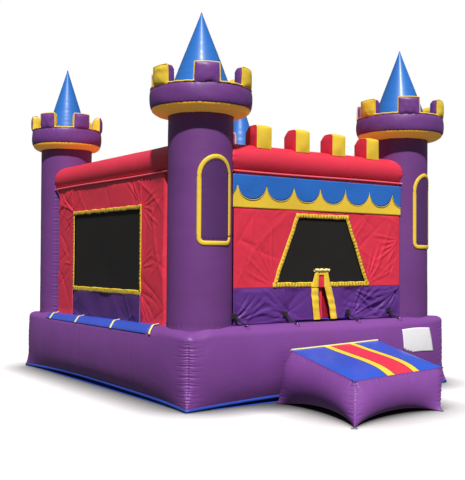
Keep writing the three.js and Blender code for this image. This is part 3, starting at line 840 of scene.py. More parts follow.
def make_head(name, place, turn, all_purple, seed, radius):
    """The purple ring, its floor, six pillow merlons and the pale piping along their edges."""
    skirt = RING_HIGH - RING_LOW
    t = np.linspace(0, 1, 22)
    inside = radius - HEAD_WALL
    outer_r = radius - 0.018 + 0.018 * np.sin(math.pi * t) ** 0.6
    outer_z = RING_LOW + skirt * t
    inner_r = inside + 0.012 - 0.012 * np.sin(math.pi * t[::-1]) ** 0.5
    floor_z = RING_LOW + 0.06
    section = [(r, z) for r, z in zip(outer_r, outer_z)]
    section += [(radius - 0.045, RING_HIGH + 0.004), (inside + 0.045, RING_HIGH + 0.004)]
    section += [(r, z) for r, z in zip(inner_r, RING_HIGH - (RING_HIGH - floor_z) * t)]
    section += [(0.30, floor_z), (0.02, floor_z), (0.02, RING_LOW), (0.30, RING_LOW)]
    half = math.radians(14.6)
    spots = [math.radians(turn + 60 * k) for k in range(6)]

    def wavy(points, angle):
        r = np.linalg.norm(points[..., :2], axis=-1)
        low_edge = bell(points[..., 2] - RING_LOW, 0.035)
        high_edge = bell(points[..., 2] - RING_HIGH, 0.030)
        draw = 0.005 * (low_edge + high_edge) * puckers(angle * radius, 0.055, seed)
        soft = 0.0025 * (1 + ripple(points * (1, 1, 2), 0.35, seed + 4))
        for spot in spots:
            to_side = (np.abs(off_angle(angle, spot)) - half) * radius
            soft = soft + 0.004 * bell(to_side, 0.012) * (points[..., 2] - RING_LOW) / skirt
        inward = (draw + soft) * (r > 0.35)
        return narrowed(points, 1 - np.clip(inward, 0, 0.02) / np.maximum(r, 0.1))

    ring = ring_solid(f"ring_{name}", section, 180, DEEP, wavy)
    parts, trims = [ring], []
    for k, middle in enumerate(spots):
        purple_out = all_purple or k in (0, 3)
        parts.append(merlon(f"merlon_{name}_{k}", middle, half, purple_out, seed + k, radius))
        trims += merlon_trim(middle, half, radius, seed + k)
    keep(join(f"head_{name}", parts), replaces=f"head_{name}", at=place)
    keep(join(f"head_piping_{name}", trims), at=place)


def merlon(name, middle, half, purple_out, seed, radius):
    """A pillow block on the ring: its faces swell, its seams pull in, its top back corner is rounded."""
    cube, faces, sides = cube_shell([graded(n, 0.5) for n in (22, 16, 24)])
    a, b, c = cube.T
    low, high = RING_HIGH - 0.012, MERLON_TOP - 0.006
    r0, r1 = radius - HEAD_WALL + 0.004, radius - 0.013
    share = (c + 1) / 2
    pillow = 0.022
    swell_top = (c > 0.999) * 0.010 * (1 - a ** 2) * (1 - b ** 2)
    outer = (np.abs(b) > 0.999) * np.sign(b) * pillow * (1 - a ** 2) * (1 - (2 * share - 1) ** 4)
    side = (np.abs(a) > 0.999) * np.sign(a) * pillow * 0.7 * (1 - b ** 2) * (1 - (2 * share - 1) ** 4)
    narrow = 1 - 0.05 * share
    mid = (r0 + r1) / 2 + b * (r1 - r0) / 2 + outer
    angle = middle + a * half * narrow + side / radius
    back = 0.05 * np.clip((c - 0.2) / 0.8, 0, 1) ** 3 * np.clip((-b - 0.2) / 0.8, 0, 1) ** 2
    tips = 0.008 * (np.abs(a) ** 6) * (np.clip(c, 0, 1) ** 6)
    z = low + share * (high - low) + swell_top - back - tips
    points = round_z(mid, angle, z)
    edge = np.maximum(np.abs(a) * np.abs(b), np.maximum(np.abs(a) * np.abs(c), np.abs(b) * np.abs(c)))
    gathers = 0.0028 * puckers(z + angle, 0.028, seed) * smooth(0.75, 1.0, edge)
    points += 0.0016 * ripple(points, 0.09, seed)[:, None] - gathers[:, None] * round_z(1, angle, 0 * angle)
    outside = np.isin(sides, (2, 3, 5))
    first, second = (DEEP, YELLOW) if purple_out else (YELLOW, DEEP)
    return new_object(name, points, faces, [first, second], np.where(outside, 0, 1))


def merlon_trim(middle, half, radius, seed):
    """Yellow piping up one side, over the top and down the other, then along the ring to the next merlon."""
    low, high = RING_HIGH + 0.004, MERLON_TOP - 0.008
    r = radius - 0.017
    rise = np.linspace(low, high - 0.012, 12)
    over = np.linspace(middle - half * 0.92, middle + half * 0.92, 16)
    bend = lambda z: half * (1 - 0.05 * (z - low) / (high - low))
    route = [(middle - bend(z), z) for z in rise]
    route += [(a, high - 0.002 + 0.003 * math.cos((a - middle) / half * 1.5)) for a in over]
    route += [(middle + bend(z), z) for z in rise[::-1]]
    a, z = np.array(route).T
    path = round_z(r + 0.0015 * np.sin(40 * z + seed), a, z)
    a = np.linspace(middle + half - 0.01, middle + math.radians(60) - half + 0.01, 18)
    valley = round_z(radius - 0.020, a, RING_HIGH + 0.003 + 0.002 * np.sin(30 * a + seed))
    return [tube("trim", path, 0.0078, YELLOW, 8), tube("trim", valley, 0.0125, YELLOW, 8, flat=0.8)]


def make_arches():
    """Arch patches on the front columns: a dark fill with a fat yellow outline."""
    for name, sx, turn in (("left", -1, -4), ("right", 1, 16)):
        low, high = 1.753, 2.677
        half = math.radians(33)
        width = half * COLUMN_R
        place = Vector((sx * TOWER_X, -TOWER_Y, 0))
        r = 0.06  # of the two lower corners
        quarter = np.linspace(0, math.pi / 2, 6)
        outline = [(-width, low + r)]
        outline += [(-width + r - r * math.cos(t), low + r - r * math.sin(t)) for t in quarter[1:]]
        outline += [(width - r + r * math.sin(t), low + r - r * math.cos(t)) for t in quarter]
        spring = high - width
        outline += [(width, z) for z in np.linspace(low + 0.1, spring, 24)]
        half_turn = np.linspace(0, math.pi, 28)[1:]
        outline += [(width * math.cos(t), spring + width * math.sin(t)) for t in half_turn]
        outline += [(-width, z) for z in np.linspace(spring, low + 0.08, 24)[1:]]
        s = np.array(outline)

        def wrap(u, z, radius):
            return round_z(radius, math.radians(turn) + u / COLUMN_R, z)

        def even(loop, step):
            closed = np.concatenate([loop, loop[:1]])
            along = np.concatenate([[0], np.cumsum(np.linalg.norm(np.diff(closed, axis=0), axis=1))])
            at = np.linspace(0, along[-1], int(along[-1] / step), endpoint=False)
            return np.stack([np.interp(at, along, closed[:, k]) for k in (0, 1)], 1)

        rim = even(s * (0.93, 1), 0.02)
        path = wrap(rim[:, 0], rim[:, 1], COLUMN_R + 0.004)
        border = tube("border", path, 0.026, YELLOW, 12, closed=True, up=(0.02, 0.01, 1))
        flatten_on_column(border, COLUMN_R + 0.001, 0.38)
        rows, columns = 60, 24
        v = np.linspace(low + 0.01, high - 0.01, rows)
        half_at = np.where(v > spring, np.sqrt(np.clip(width ** 2 - (v - spring) ** 2, 1e-6, None)), width)
        u = np.linspace(-1, 1, columns)[:, None] * half_at[None] * 0.95
        front = wrap(u, np.broadcast_to(v, u.shape), COLUMN_R + 0.004 + 0 * u)
        fill = slab("fill", front, 0.004, DARK)
        stitches = []
        inner = even(s * (0.84, 1), 0.05)
        inner[:, 1] = low + 0.055 + (inner[:, 1] - low) * 0.90
        for p, q in zip(inner, np.roll(inner, -1, 0)):
            mid, gap = (p + q) / 2, (q - p) * 0.28
            ends = wrap(*np.array([mid - gap, mid + gap]).T, COLUMN_R + 0.0055)
            stitches.append(tube("stitch", ends, 0.0022, DARK_THREAD, 5))
        keep(join(f"arch_{name}", [fill, border, *stitches]),
             replaces=f"arch_patch_{name}", at=place)


def flatten_on_column(piece, radius, share):
    """Presses a round cord that is wrapped on the column down to a low raised band."""
    mesh = piece.data
    co = np.zeros(len(mesh.vertices) * 3)
    mesh.vertices.foreach_get("co", co)
    co = co.reshape(-1, 3)
    r = np.linalg.norm(co[:, :2], axis=1)
    wanted = radius + (r - radius) * share
    co[:, :2] *= (np.maximum(wanted, radius - 0.003) / r)[:, None]
    mesh.vertices.foreach_set("co", co.reshape(-1))
    mesh.update()


# ---------------------------------------------------------------- beams


def make_beam(side):
    """A fat tube between two columns with gathered, rounded ends and a rose piping under it."""
    along_x = side in ("front", "rear")
    low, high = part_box(f"top_beam_{side}")
    half = (high.x - low.x) / 2 if along_x else (high.y - low.y) / 2
    sign = -1 if side in ("front", "left") else 1
    centre = sign * (BEAM_Y if along_x else BEAM_X)
    tower_at = TOWER_Y if along_x else TOWER_X
    n = 170
    s = np.linspace(-1, 1, n)
    s = 0.4 * s + 0.6 * np.sin(s * math.pi / 2)
    along = s * half
    t = np.linspace(0, 2 * math.pi, 72, endpoint=False)
    ga, gt = grid(along, t)
    to_end = half - np.abs(ga)
    radius = BEAM_R - 0.004 - 0.015 * np.exp(-to_end / 0.02)
    gathers = puckers(gt * BEAM_R, 0.075, 2.0 + sign)
    radius = radius - 0.010 * gathers * np.exp(-to_end / 0.06)
    base = np.stack([ga, np.cos(gt) * BEAM_R, np.sin(gt) * BEAM_R], -1)
    radius = radius - 0.002 * np.abs(ripple(base, 0.7, 31 + len(side)))
    across, up = np.cos(gt) * radius, np.sin(gt) * radius
    # the ends are drawn in to the round of the column
    shift = centre + across
    dent = np.sqrt(np.clip(COLUMN_R ** 2 - (np.abs(shift) - tower_at) ** 2, 0, None))
    tower_line = TOWER_X if along_x else TOWER_Y
    limit = tower_line - dent - 0.002
    ga = np.sign(ga) * np.minimum(np.abs(ga), limit)
    z = BEAM_Z + up
    points = np.stack([ga, shift, z], -1) if along_x else np.stack([shift, ga, z], -1)
    faces = grid_faces(n, 72, wrap_v=True, flip=not along_x).tolist()
    ends = [list(range(72)), [(n - 1) * 72 + i for i in reversed(range(72))]]
    faces += [e[::-1] if not along_x else e for e in ends]
    beam = new_object(f"top_beam_{side}_tube", points, faces, RED)
    keep(beam, replaces=f"top_beam_{side}")

    wall = WALL_Y if along_x else WALL_X
    reach = half - 0.03
    line = np.linspace(-reach, reach, 60)
    depth = sign * (wall + 0.012)
    level = np.full_like(line, WALL_TOP - 0.004) + 0.004 * np.sin(line * 2.3)
    other = np.full_like(line, depth)
    path = np.stack([line, other, level], 1) if along_x else np.stack([other, line, level], 1)
    piping = tube(f"beam_piping_{side}", path, 0.012, ROSE, 10)
    keep(piping)


def make_beam_merlons():
    """Four pillow blocks on the front beam: yellow with red sides."""
    for k in range(4):
        node = f"beam_merlon_{k + 1}"
        low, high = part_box(node)
        cube, faces, sides = cube_shell([graded(n, 0.5) for n in (20, 24, 22)])
        a, b, c = cube.T
        half_x, half_y = (high.x - low.x) / 2, (high.y - low.y) / 2
        pillow = 0.014
        x = (low.x + high.x) / 2 + a * (half_x - pillow)
        y = (low.y + high.y) / 2 + b * (half_y - pillow)
        seat = BEAM_Z + np.sqrt(np.clip(BEAM_R ** 2 - (np.abs(y) - BEAM_Y) ** 2, 0, None)) - 0.004
        z = seat + (c + 1) / 2 * (high.z - pillow - seat)
        back = np.clip((b - 0.1) / 0.9, 0, 1) ** 2 * np.clip((c + 0.2) / 1.2, 0, 1) ** 3
        front = np.clip((-b - 0.4) / 0.6, 0, 1) ** 3 * np.clip(c, 0, 1) ** 4
        z = z - 0.085 * back - 0.022 * front
        x = x + (np.abs(a) > 0.999) * np.sign(a) * pillow * (1 - b ** 2) * (1 - c ** 2)
        y = y + (np.abs(b) > 0.999) * np.sign(b) * pillow * (1 - a ** 2) * (1 - c ** 2)
        z = z + (c > 0.999) * pillow * (1 - a ** 2) * (1 - b ** 2)
        points = np.stack([x, y, z], 1)
        points += 0.0015 * ripple(points, 0.12, 60 + k)[:, None]
        block = new_object(f"beam_block_{k + 1}", points, faces, [YELLOW, RED], np.isin(sides, (0, 1)))
        keep(block, replaces=node)


# ---------------------------------------------------------------- walls


def on_side(side):
    """Maps (across, outward, height) on one of the four wall planes to the house's frame."""
    def place(u, out, z):
        u, out, z = np.broadcast_arrays(np.asarray(u, float), np.asarray(out, float), np.asarray(z, float))
        if side == "front":
            return np.stack([u, -(WALL_Y + out), z], -1)
        if side == "rear":
            return np.stack([-u, WALL_Y + out, z], -1)
        if side == "left":
            return np.stack([-(WALL_X + out), -u, z], -1)
        return np.stack([WALL_X + out, u, z], -1)
    return place


def edge_lines(start, stops, step):
    """Points from start through each stop, spaced about step apart and passing through every stop."""
    line = [start]
    for stop in stops:
        count = max(1, round(abs(stop - line[-1]) / step))
        line += list(np.linspace(line[-1], stop, count + 1)[1:])
    return np.array(line)


def fan(u, z, corner, angles, length, depth, width, seed):
    """Folds that spread from a corner like pleats: narrow where they start, wider and lower as they run out."""
    rng = np.random.default_rng(seed)
    total = np.zeros_like(u)
    for angle in angles:
        angle = math.radians(angle) + rng.uniform(-0.06, 0.06)
        along = (u - corner[0]) * math.cos(angle) + (z - corner[1]) * math.sin(angle)
        reach = length * rng.uniform(0.7, 1.2)
        share = np.clip(along / reach, 0, 1)
        bend = 0.05 * reach * rng.uniform(-1, 1) * np.sin(share * math.pi)
        across = (z - corner[1]) * math.cos(angle) - (u - corner[0]) * math.sin(angle) - bend
        wide = width * (0.4 + 1.2 * share)
        envelope = np.sin(math.pi * share) ** 0.7 * (along > 0)
        off = np.abs(across)
        ridge = np.exp(-off / wide) - 0.5 * bell(off - 1.7 * wide, wide)
        total += depth * rng.uniform(0.6, 1.1) * envelope * ridge
    return total


def wall_folds(u, z, seed, strength):
    """Long slack folds and fine diagonal creases of a hung vinyl wall."""
    swell = 0.008 * flat_ripple(u, z, 1.1, seed)
    long = creases(u, z, seed + 1, 26, 0.016, 0.018, 0.55, (0.5, 1.3))
    other = creases(u, z, seed + 2, 26, 0.015, 0.016, 0.50, (1.8, 2.7))
    fine = creases(u, z, seed + 3, 90, 0.0045, 0.009, 0.14)
    return strength * (swell + long + other + fine)


def crumple(u, z, seed):
    """The loose lower panels: big soft pouches broken by many sharp creases."""
    return 0.9 * (
        0.012 * flat_ripple(u, z, 0.45, seed)
        + creases(u, z, seed + 1, 24, 0.020, 0.028, 0.34, (0.15, 1.0))
        + creases(u, z, seed + 2, 20, 0.018, 0.026, 0.30, (1.9, 2.9))
        + creases(u, z, seed + 3, 60, 0.004, 0.009, 0.12))


def make_net(side, corners, depth, name, node):
    """A window net hung from its four corners, sagging a little outward."""
    (u0, z0), (u1, z1), (u2, z2), (u3, z3) = corners
    s = np.linspace(0, 1, 60)[:, None]
    t = np.linspace(0, 1, 40)[None]
    low_u, high_u = u0 + (u1 - u0) * s, u3 + (u2 - u3) * s
    u = low_u + (high_u - low_u) * t
    z = z0 + (z2 - z0) * t + 0 * s
    out = depth + 0.012 * np.sin(math.pi * s) * np.sin(math.pi * t) * flat_ripple(u, z, 0.9, 12)
    out = np.minimum(out, depth + 0.004)
    net = slab(name, on_side(side)(u, out, z), 0.002, NET)
    keep(net, replaces=node)


def binding(side, corners, widths, depth, name, seed):
    """Folded yellow bands sewn round the corners of an opening, each with three rows of stitches."""
    loop = np.array([*corners, corners[0]])
    parts = []
    for k, width in enumerate(widths):
        a, b = loop[k], loop[k + 1]
        length = np.linalg.norm(b - a)
        d = (b - a) / length
        n = np.array([-d[1], d[0]])
        over = widths[k - 1] / 2  # each band runs on over the one before it
        gt, gw = grid(np.linspace(-over, length + over, max(8, int(length / 0.018))), np.linspace(-1, 1, 9))
        edge = 0.0035 * ripple(np.stack([gt, gt * 0, gt * 0 + seed + k], -1), 0.16, seed + k)
        u = a[0] + d[0] * gt + n[0] * (gw * width / 2 + edge)
        z = a[1] + d[1] * gt + n[1] * (gw * width / 2 + edge)
        roll = 0.006 * np.sqrt(np.clip(1 - gw ** 2, 0, 1))
        gather = 0.004 * puckers(gt, 0.055, seed + k) * (1 - np.abs(gw) ** 3)
        points = on_side(side)(u, depth + roll + gather, z)
        parts.append(slab("band", points, 0.004, YELLOW))
        for row in (-0.55, 0.1, 0.6):
            at = np.arange(0.02, length, 0.045)
            for x in at + 0.007 * np.sin(at * 31 + row * 9):
                ends = np.array([x - 0.010, x + 0.010])
                tilt = np.array([-0.003, 0.003])
                uu = a[0] + d[0] * ends + n[0] * (row * width / 2 + tilt)
                zz = a[1] + d[1] * ends + n[1] * (row * width / 2 + tilt)
                parts.append(tube("stitch", on_side(side)(uu, depth + 0.0085, zz), 0.0028, THREAD, 4))
    keep(join(name, parts))


def make_side_wall(side, seed):
    """A red wall with a net window, a loose purple panel under it, and the seams and binding round them."""
    half = HALF_SIDE if side in ("left", "right") else HALF_FRONT
    net_low, net_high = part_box(f"{side}_window_mesh")
    z0, z1 = net_low.z + NET_LAP, net_high.z - NET_LAP
    window = SIDE_WINDOW
    place = on_side(side)
    foot = BED_TOP - (0.065 if side == "left" else 0.040)
    u = edge_lines(-half, (-window, window, half), 0.0125)
    z = edge_lines(foot, (z0, z1, WALL_TOP), 0.0125)
    gu, gz = grid(u, z)
    mid_u, mid_z = cell_middles(gu), cell_middles(gz)
    hole = (np.abs(mid_u) < window) & (mid_z > z0) & (mid_z < z1)
    panel = (np.abs(mid_u) < window + 0.02) & (mid_z < z0)
    edge = np.minimum.reduce([half - np.abs(gu), gz - foot, WALL_TOP - gz])
    fade = smooth(0, 0.10, edge)
    rim = smooth(0, 0.08, np.maximum(np.abs(gu) - window, np.maximum(z0 - gz, gz - z1)))
    folds = wall_folds(gu, gz, seed, 0.8)
    for sign in (-1, 1):
        sweep = (120, 105, 78, 62, 45) if sign < 0 else (60, 75, 102, 118, 135)
        folds += fan(gu, gz, (sign * window, z1), sweep, 0.55, 0.009, 0.016, seed + 40 + sign)
        folds += fan(gu, gz, (sign * window, z0), [-v for v in sweep], 0.36, 0.009, 0.014, seed + 50 + sign)
        beside = (150, 165, 195, 210, 230) if sign < 0 else (30, 15, -15, -30, -50)
        folds += fan(gu, gz, (sign * window, z1), beside, 0.40, 0.008, 0.014, seed + 60 + sign)
        turned_sweep = [v + 60 * sign for v in beside]
        folds += fan(gu, gz, (sign * window, z0 + 0.3), turned_sweep, 0.42, 0.008, 0.014, seed + 70 + sign)
    folds = folds * fade * (0.20 + 0.80 * rim)
    lower = crumple(gu, gz, seed + 7) * smooth(0, 0.06, gz - foot) * smooth(0, 0.05, z0 - gz)
    inside = (np.abs(gu) < window).astype(float) * (gz < z0)
    out = np.clip(np.where(inside > 0, lower, folds), -0.050, 0.012)
    out = out - 0.055 * smooth(half - 0.085, half - 0.035, np.abs(gu)) * (1 - inside)
    red = slab(f"{side}_wall", place(gu, out, gz), FABRIC, SHEET_RED, ~hole & ~panel)
    keep(red, replaces=f"{side}_wall")
    # painted shade: the lower panel takes the darker copy of the panel purple
    pouch = slab(f"{side}_lower_panel", place(gu, out + 0.0015, gz), FABRIC, PANEL_PAINTED_SHADE, panel)
    keep(pouch)
    # upright seams beside and over the window
    seams = []
    for x in (-window - 0.03, window + 0.03):
        line = np.linspace(z1 + 0.05, WALL_TOP - 0.02, 30)
        seams.append(tube("seam", place(np.full_like(line, x), 0.010, line), 0.004, SHEET_RED, 6))
        line = np.linspace(foot + 0.01, z0, 24)
        seams.append(tube("seam", place(np.full_like(line, x * 0.985), 0.012, line), 0.004, ROSE, 6))
    keep(join(f"{side}_seams", seams))
    box = [(-window, z0), (window, z0), (window, z1), (-window, z1)]
    make_net(side, box, -0.012, f"{side}_net", f"{side}_window_mesh")
    binding(side, box, (0.062, 0.034, 0.050, 0.034), 0.004, f"{side}_binding", seed)


def make_front_wall():
    """The front over the door: a red wall round a tapered net window, the banner and the lower panels."""
    net_low, net_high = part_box("front_window_mesh")
    z0, z1 = net_low.z + NET_LAP - 0.022, net_high.z - NET_LAP
    w0, w1 = net_high.x - NET_LAP, 0.385  # half the window's width at its foot and at its top
    place = on_side("front")
    seam = DOOR_HEAD + 0.0003
    half = HALF_FRONT
    z = edge_lines(seam, (z0, z1, WALL_TOP), 0.0115)
    columns = edge_lines(0, (1, 2, 3), 1 / 84)
    slope = w0 + (w1 - w0) * np.clip((z - z0) / (z1 - z0), 0, 1)
    s, gz = grid(columns, z)
    w = np.broadcast_to(slope, s.shape)
    # s runs over the cloth left of the window, the window and the cloth right of it
    beside = np.where(s < 1, -half + (half - w) * s, w + (half - w) * (s - 2))
    gu = np.where((s < 1) | (s >= 2), beside, -w + 2 * w * (s - 1))
    mid_s, mid_z = cell_middles(s), cell_middles(gz)
    hole = (mid_s > 1) & (mid_s < 2) & (mid_z > z0) & (mid_z < z1)
    edge = np.minimum.reduce([half - np.abs(gu), gz - seam, WALL_TOP - gz])
    rim = smooth(0, 0.07, np.where((gz > z0) & (gz < z1), np.abs(np.abs(gu) - w), 0.07))
    out = wall_folds(gu, gz, 90, 0.55)
    out += fan(gu, gz, (-w0, z0), (95, 108, 122, 138, 155), 0.6, 0.008, 0.016, 91)
    out += fan(gu, gz, (w0, z0), (20, 35, 50, 66, 80), 0.6, 0.009, 0.016, 92)
    out += fan(gu, gz, (half, z1 - 0.25), (170, 185, 200, 215, 232), 0.5, 0.008, 0.014, 93)
    out *= smooth(0, 0.09, edge) * (0.25 + 0.75 * rim)
    out = np.clip(out, DEEPEST, 0.010)
    banner_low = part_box("front_banner")[0].z
    out = np.minimum(out, 0.012 - 0.012 * smooth(banner_low - 0.06, banner_low, gz))
    wall = slab("front_wall", place(gu, out, gz), FABRIC, SHEET_RED, ~hole)
    keep(wall, replaces="front_wall")
    corners = [(-w0, z0), (w0, z0), (w1, z1), (-w1, z1)]
    make_net("front", corners, -0.012, "front_net", "front_window_mesh")
    binding("front", corners, (0.056, 0.052, 0.052, 0.052), 0.004, "front_binding", 5)
    make_banner(place)
    for sign, name in ((-1, "left"), (1, "right")):
        make_front_panel(sign, name, place, seam, half)


def make_front_panel(sign, name, place, seam, half):
    """A loose purple panel between the tower and the door flap."""
    foot = BED_TOP + 0.004
    u = edge_lines(sign * DOOR_HINGE, (sign * half,), 0.0085)
    if sign < 0:
        u = u[::-1]
    z = edge_lines(foot, (seam,), 0.0085)
    gu, gz = grid(u, z)
    fade = smooth(0, 0.05, seam - gz) * smooth(0, 0.03, gz - foot) * smooth(0, 0.06, half - np.abs(gu))
    out = front_crumple(gu, gz) * fade
    panel = slab(f"front_panel_{name}", place(gu, out, gz), FABRIC, PANEL)
    keep(panel, replaces=f"front_panel_{name}")


def front_crumple(u, z):
    """One field of folds runs on over the fixed panels and the door flaps between them."""
    span = (-1.3, 1.3, 0.86, 1.26)
    total = creases(u, z, 404, 20, 0.017, 0.034, 0.46, (0.25, 0.8), span)
    total += creases(u, z, 405, 12, 0.014, 0.030, 0.36, (2.3, 2.85), span)
    total += creases(u, z, 406, 90, 0.0035, 0.008, 0.14, (0, math.pi), span)
    total += 0.012 * flat_ripple(u, z, 0.5, 40)
    for corner, sweep in (((-1.3, 0.88), (15, 26, 38, 52)), ((1.3, 1.25), (190, 203, 216, 228)),
                          ((0.42, 1.26), (-20, -38, -60)), ((-0.42, 0.9), (118, 135, 152, 166)),
                          ((0.46, 0.9), (22, 36, 52, 70))):
        total += fan(u, z, corner, sweep, 0.65, 0.014, 0.020, 410 + int(10 * corner[0]))
    beside_slit = 1 - smooth(0.12, 0.60, np.abs(u - 0.02))
    total = total * (1 - 0.75 * beside_slit)
    return np.clip(total, DEEPEST + 0.036 * (1 - smooth(0.20, 0.50, np.abs(u - 0.02))), 0.016)


def make_banner(place):
    """A yellow band with a scalloped blue band sewn over it."""
    low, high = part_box("front_banner")
    half = high.x
    z0, z1 = low.z, high.z
    u = np.linspace(-half, half, 320)
    z = np.linspace(z0, z1, 24)
    gu, gz = grid(u, z)
    sway = 0.003 * flat_ripple(gu, gz, 0.5, 70)
    back = slab("band", place(gu, 0.0065 + sway, gz), FABRIC, YELLOW)
    keep(back, replaces="front_banner")
    # the lobes meet in sharp peaks
    peak, pitch = -1.246, 0.398
    t = ((u - peak) / pitch) % 1.0
    lobe = np.sqrt(np.clip(1 - np.abs(2 * t - 1) ** 2.3, 0, 1))
    drop = 0.072 + 0.195 * lobe
    s = np.linspace(0, 1, 20)
    su, ss = grid(u, s)
    bottom = (z1 - drop)[:, None]
    sz = bottom + (z1 - bottom) * ss
    sw = 0.003 * flat_ripple(su, sz, 0.5, 70)
    lobes = slab("front_scallops", place(su, 0.0095 + sw, sz), 0.0025, BANNER_BLUE)
    keep(lobes)
    line = place(u, 0.0110, bottom[:, 0])
    cord = tube("cord", line, 0.0042, DARK_THREAD, 6)
    pale = tube("cord", line - (0, 0, 0.007), 0.0038, PIPING, 6)
    keep(join("scallop_edge", [cord, pale]))


# ---------------------------------------------------------------- door


def make_door():
    """Two purple flaps with yellow bindings, each hanging from a fixed edge; each binding rides on a body named
    for its flap.
    """
    place = on_side("front")
    seam = DOOR_HEAD
    # each flap: its hinge, and where its free edge lies at its foot and at its head
    flaps = (("left", -DOOR_HINGE, -0.030, -0.057), ("right", DOOR_HINGE, 0.130, 0.028))
    for name, at, low_u, high_u in flaps:
        z = edge_lines(DOOR_FOOT, (seam - 0.002,), 0.009)
        s = np.linspace(0, 1, 44)
        share = (z - DOOR_FOOT) / (seam - DOOR_FOOT)
        edge = low_u + (high_u - low_u) * share
        gs, gz = grid(s, z)
        ge = np.broadcast_to(edge, gs.shape)
        gu = at + (ge - at) * gs
        if at > 0:
            gu, gz, gs = gu[::-1], gz[::-1], gs[::-1]
        flat_top = smooth(0, 0.05, seam - gz) * (0.35 + 0.65 * smooth(0, 0.02, gz - DOOR_FOOT))
        out = front_crumple(gu, gz) * flat_top * (1 - 0.6 * smooth(0.75, 1.0, gs))
        flap = slab(f"door_flap_{name}", place(gu, out, gz), FABRIC, PANEL)
        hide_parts(f"door_flap_{name}")
        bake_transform(flap)
        # the wide yellow binding along the slit
        width = 0.100
        gw, gz2 = grid(np.linspace(0, 1, 14), np.linspace(DOOR_FOOT - 0.004, seam, 60))
        share2 = (gz2 - DOOR_FOOT) / (seam - DOOR_FOOT)
        inner = low_u + (high_u - low_u) * share2
        bow = 0.012 * np.sin(math.pi * np.clip(share2, 0, 1))
        away = -1 if at < 0 else 1
        u = inner - 0.015 + away * (gw * width * (1 + 0.12 * share2) + bow)
        roll = 0.010 * np.sqrt(np.clip(1 - (2 * gw - 1) ** 2, 0, 1))
        out = 0.016 + roll + 0.004 * flat_ripple(u, gz2, 0.12, 77)
        points = place(u, out, gz2)
        if away < 0:
            points = points[::-1]
        strip = slab(f"door_binding_{name}", points, 0.006, YELLOW)
        keep(strip, f"door_flap_{name}")
    make_lining(place)
    make_tab(place, seam)


def make_lining(place):
    """The red flap behind the slit: it is folded, so that its right part lies deeper, and that part is painted
    a darker red as painted shade.
    """
    low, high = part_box("door_lining")
    foot = DOOR_FOOT - 0.004
    u = edge_lines(low.x, (-0.05, 0.03, high.x), 0.006)
    z = edge_lines(foot, (high.z,), 0.012)
    gu, gz = grid(u, z)
    depth = -(WALL_Y + low.y)
    fold = 0.012 + 0.004 * np.sin(9 * gz)
    deep = smooth(-0.004, 0.004, gu - fold) * smooth(0.30, 0.20, gu)
    deep = deep * (1 - smooth(high.z - 0.25, high.z - 0.12, gz))
    out = depth + 0.006 - 0.034 * deep - 0.040 * smooth(DOOR_HEAD - 0.03, DOOR_HEAD + 0.04, gz)
    out = out + 0.002 * flat_ripple(gu, gz, 0.2, 21)
    # painted shade: the cells right of the fold take the darker red
    shade = (cell_middles(gu) > 0.018).astype(int)
    lining = slab("door_lining", place(gu, out, gz), FABRIC, [SHEET_RED, LINING_PAINTED_SHADE], indices=shade)
    keep(lining, "door_lining", "door_lining")


def make_tab(place, seam):
    """The gathered end of the slit over the window: two yellow tails, red between them, a folded bar across."""
    top = 1.455
    parts = []
    for foot_u, top_u, foot_half, top_half in ((-0.134, -0.100, 0.057, 0.031), (0.063, 0.029, 0.054, 0.033)):
        gw, gz = grid(np.linspace(-1, 1, 12), np.linspace(seam + 0.001, top, 50))
        share = (gz - seam) / (top - seam)
        half = foot_half + (top_half - foot_half) * share ** 0.7
        u = foot_u + (top_u - foot_u) * share + gw * half
        pleats = 0.004 * np.cos(gw * 7) * smooth(0.3, 1.0, share)
        out = 0.020 + 0.008 * np.sqrt(np.clip(1 - gw ** 2, 0, 1)) + pleats
        parts.append(slab("tail", place(u, out, gz), 0.006, YELLOW))
    gu, gz = grid(np.linspace(-0.100, 0.030, 12), np.linspace(seam - 0.004, top - 0.01, 30))
    parts.append(slab("between", place(gu, 0.0165 + 0.002 * np.sin(30 * gz), gz), 0.004, SHEET_RED))
    gu, gz = grid(np.linspace(-0.110, 0.040, 14), np.linspace(top - 0.052, top, 8))
    parts.append(slab("gather", place(gu, 0.021 + 0.005 * np.abs(np.sin(gu * 90)), gz), 0.005, YELLOW))
    t = np.linspace(-1, 1, 30)
    bar = np.stack([-0.037 + 0.112 * t, np.full(30, -(WALL_Y + 0.028)), 1.462 + 0.003 * np.cos(9 * t)], 1)
    parts.append(tube("bar", bar, 0.0165 + 0.002 * np.cos(12 * t), PIPING, 12, flat=0.9, up=(0, 1, 0)))
    keep(join("door_tab", parts), replaces="door_tab")


# ---------------------------------------------------------------- roof, step, ledge


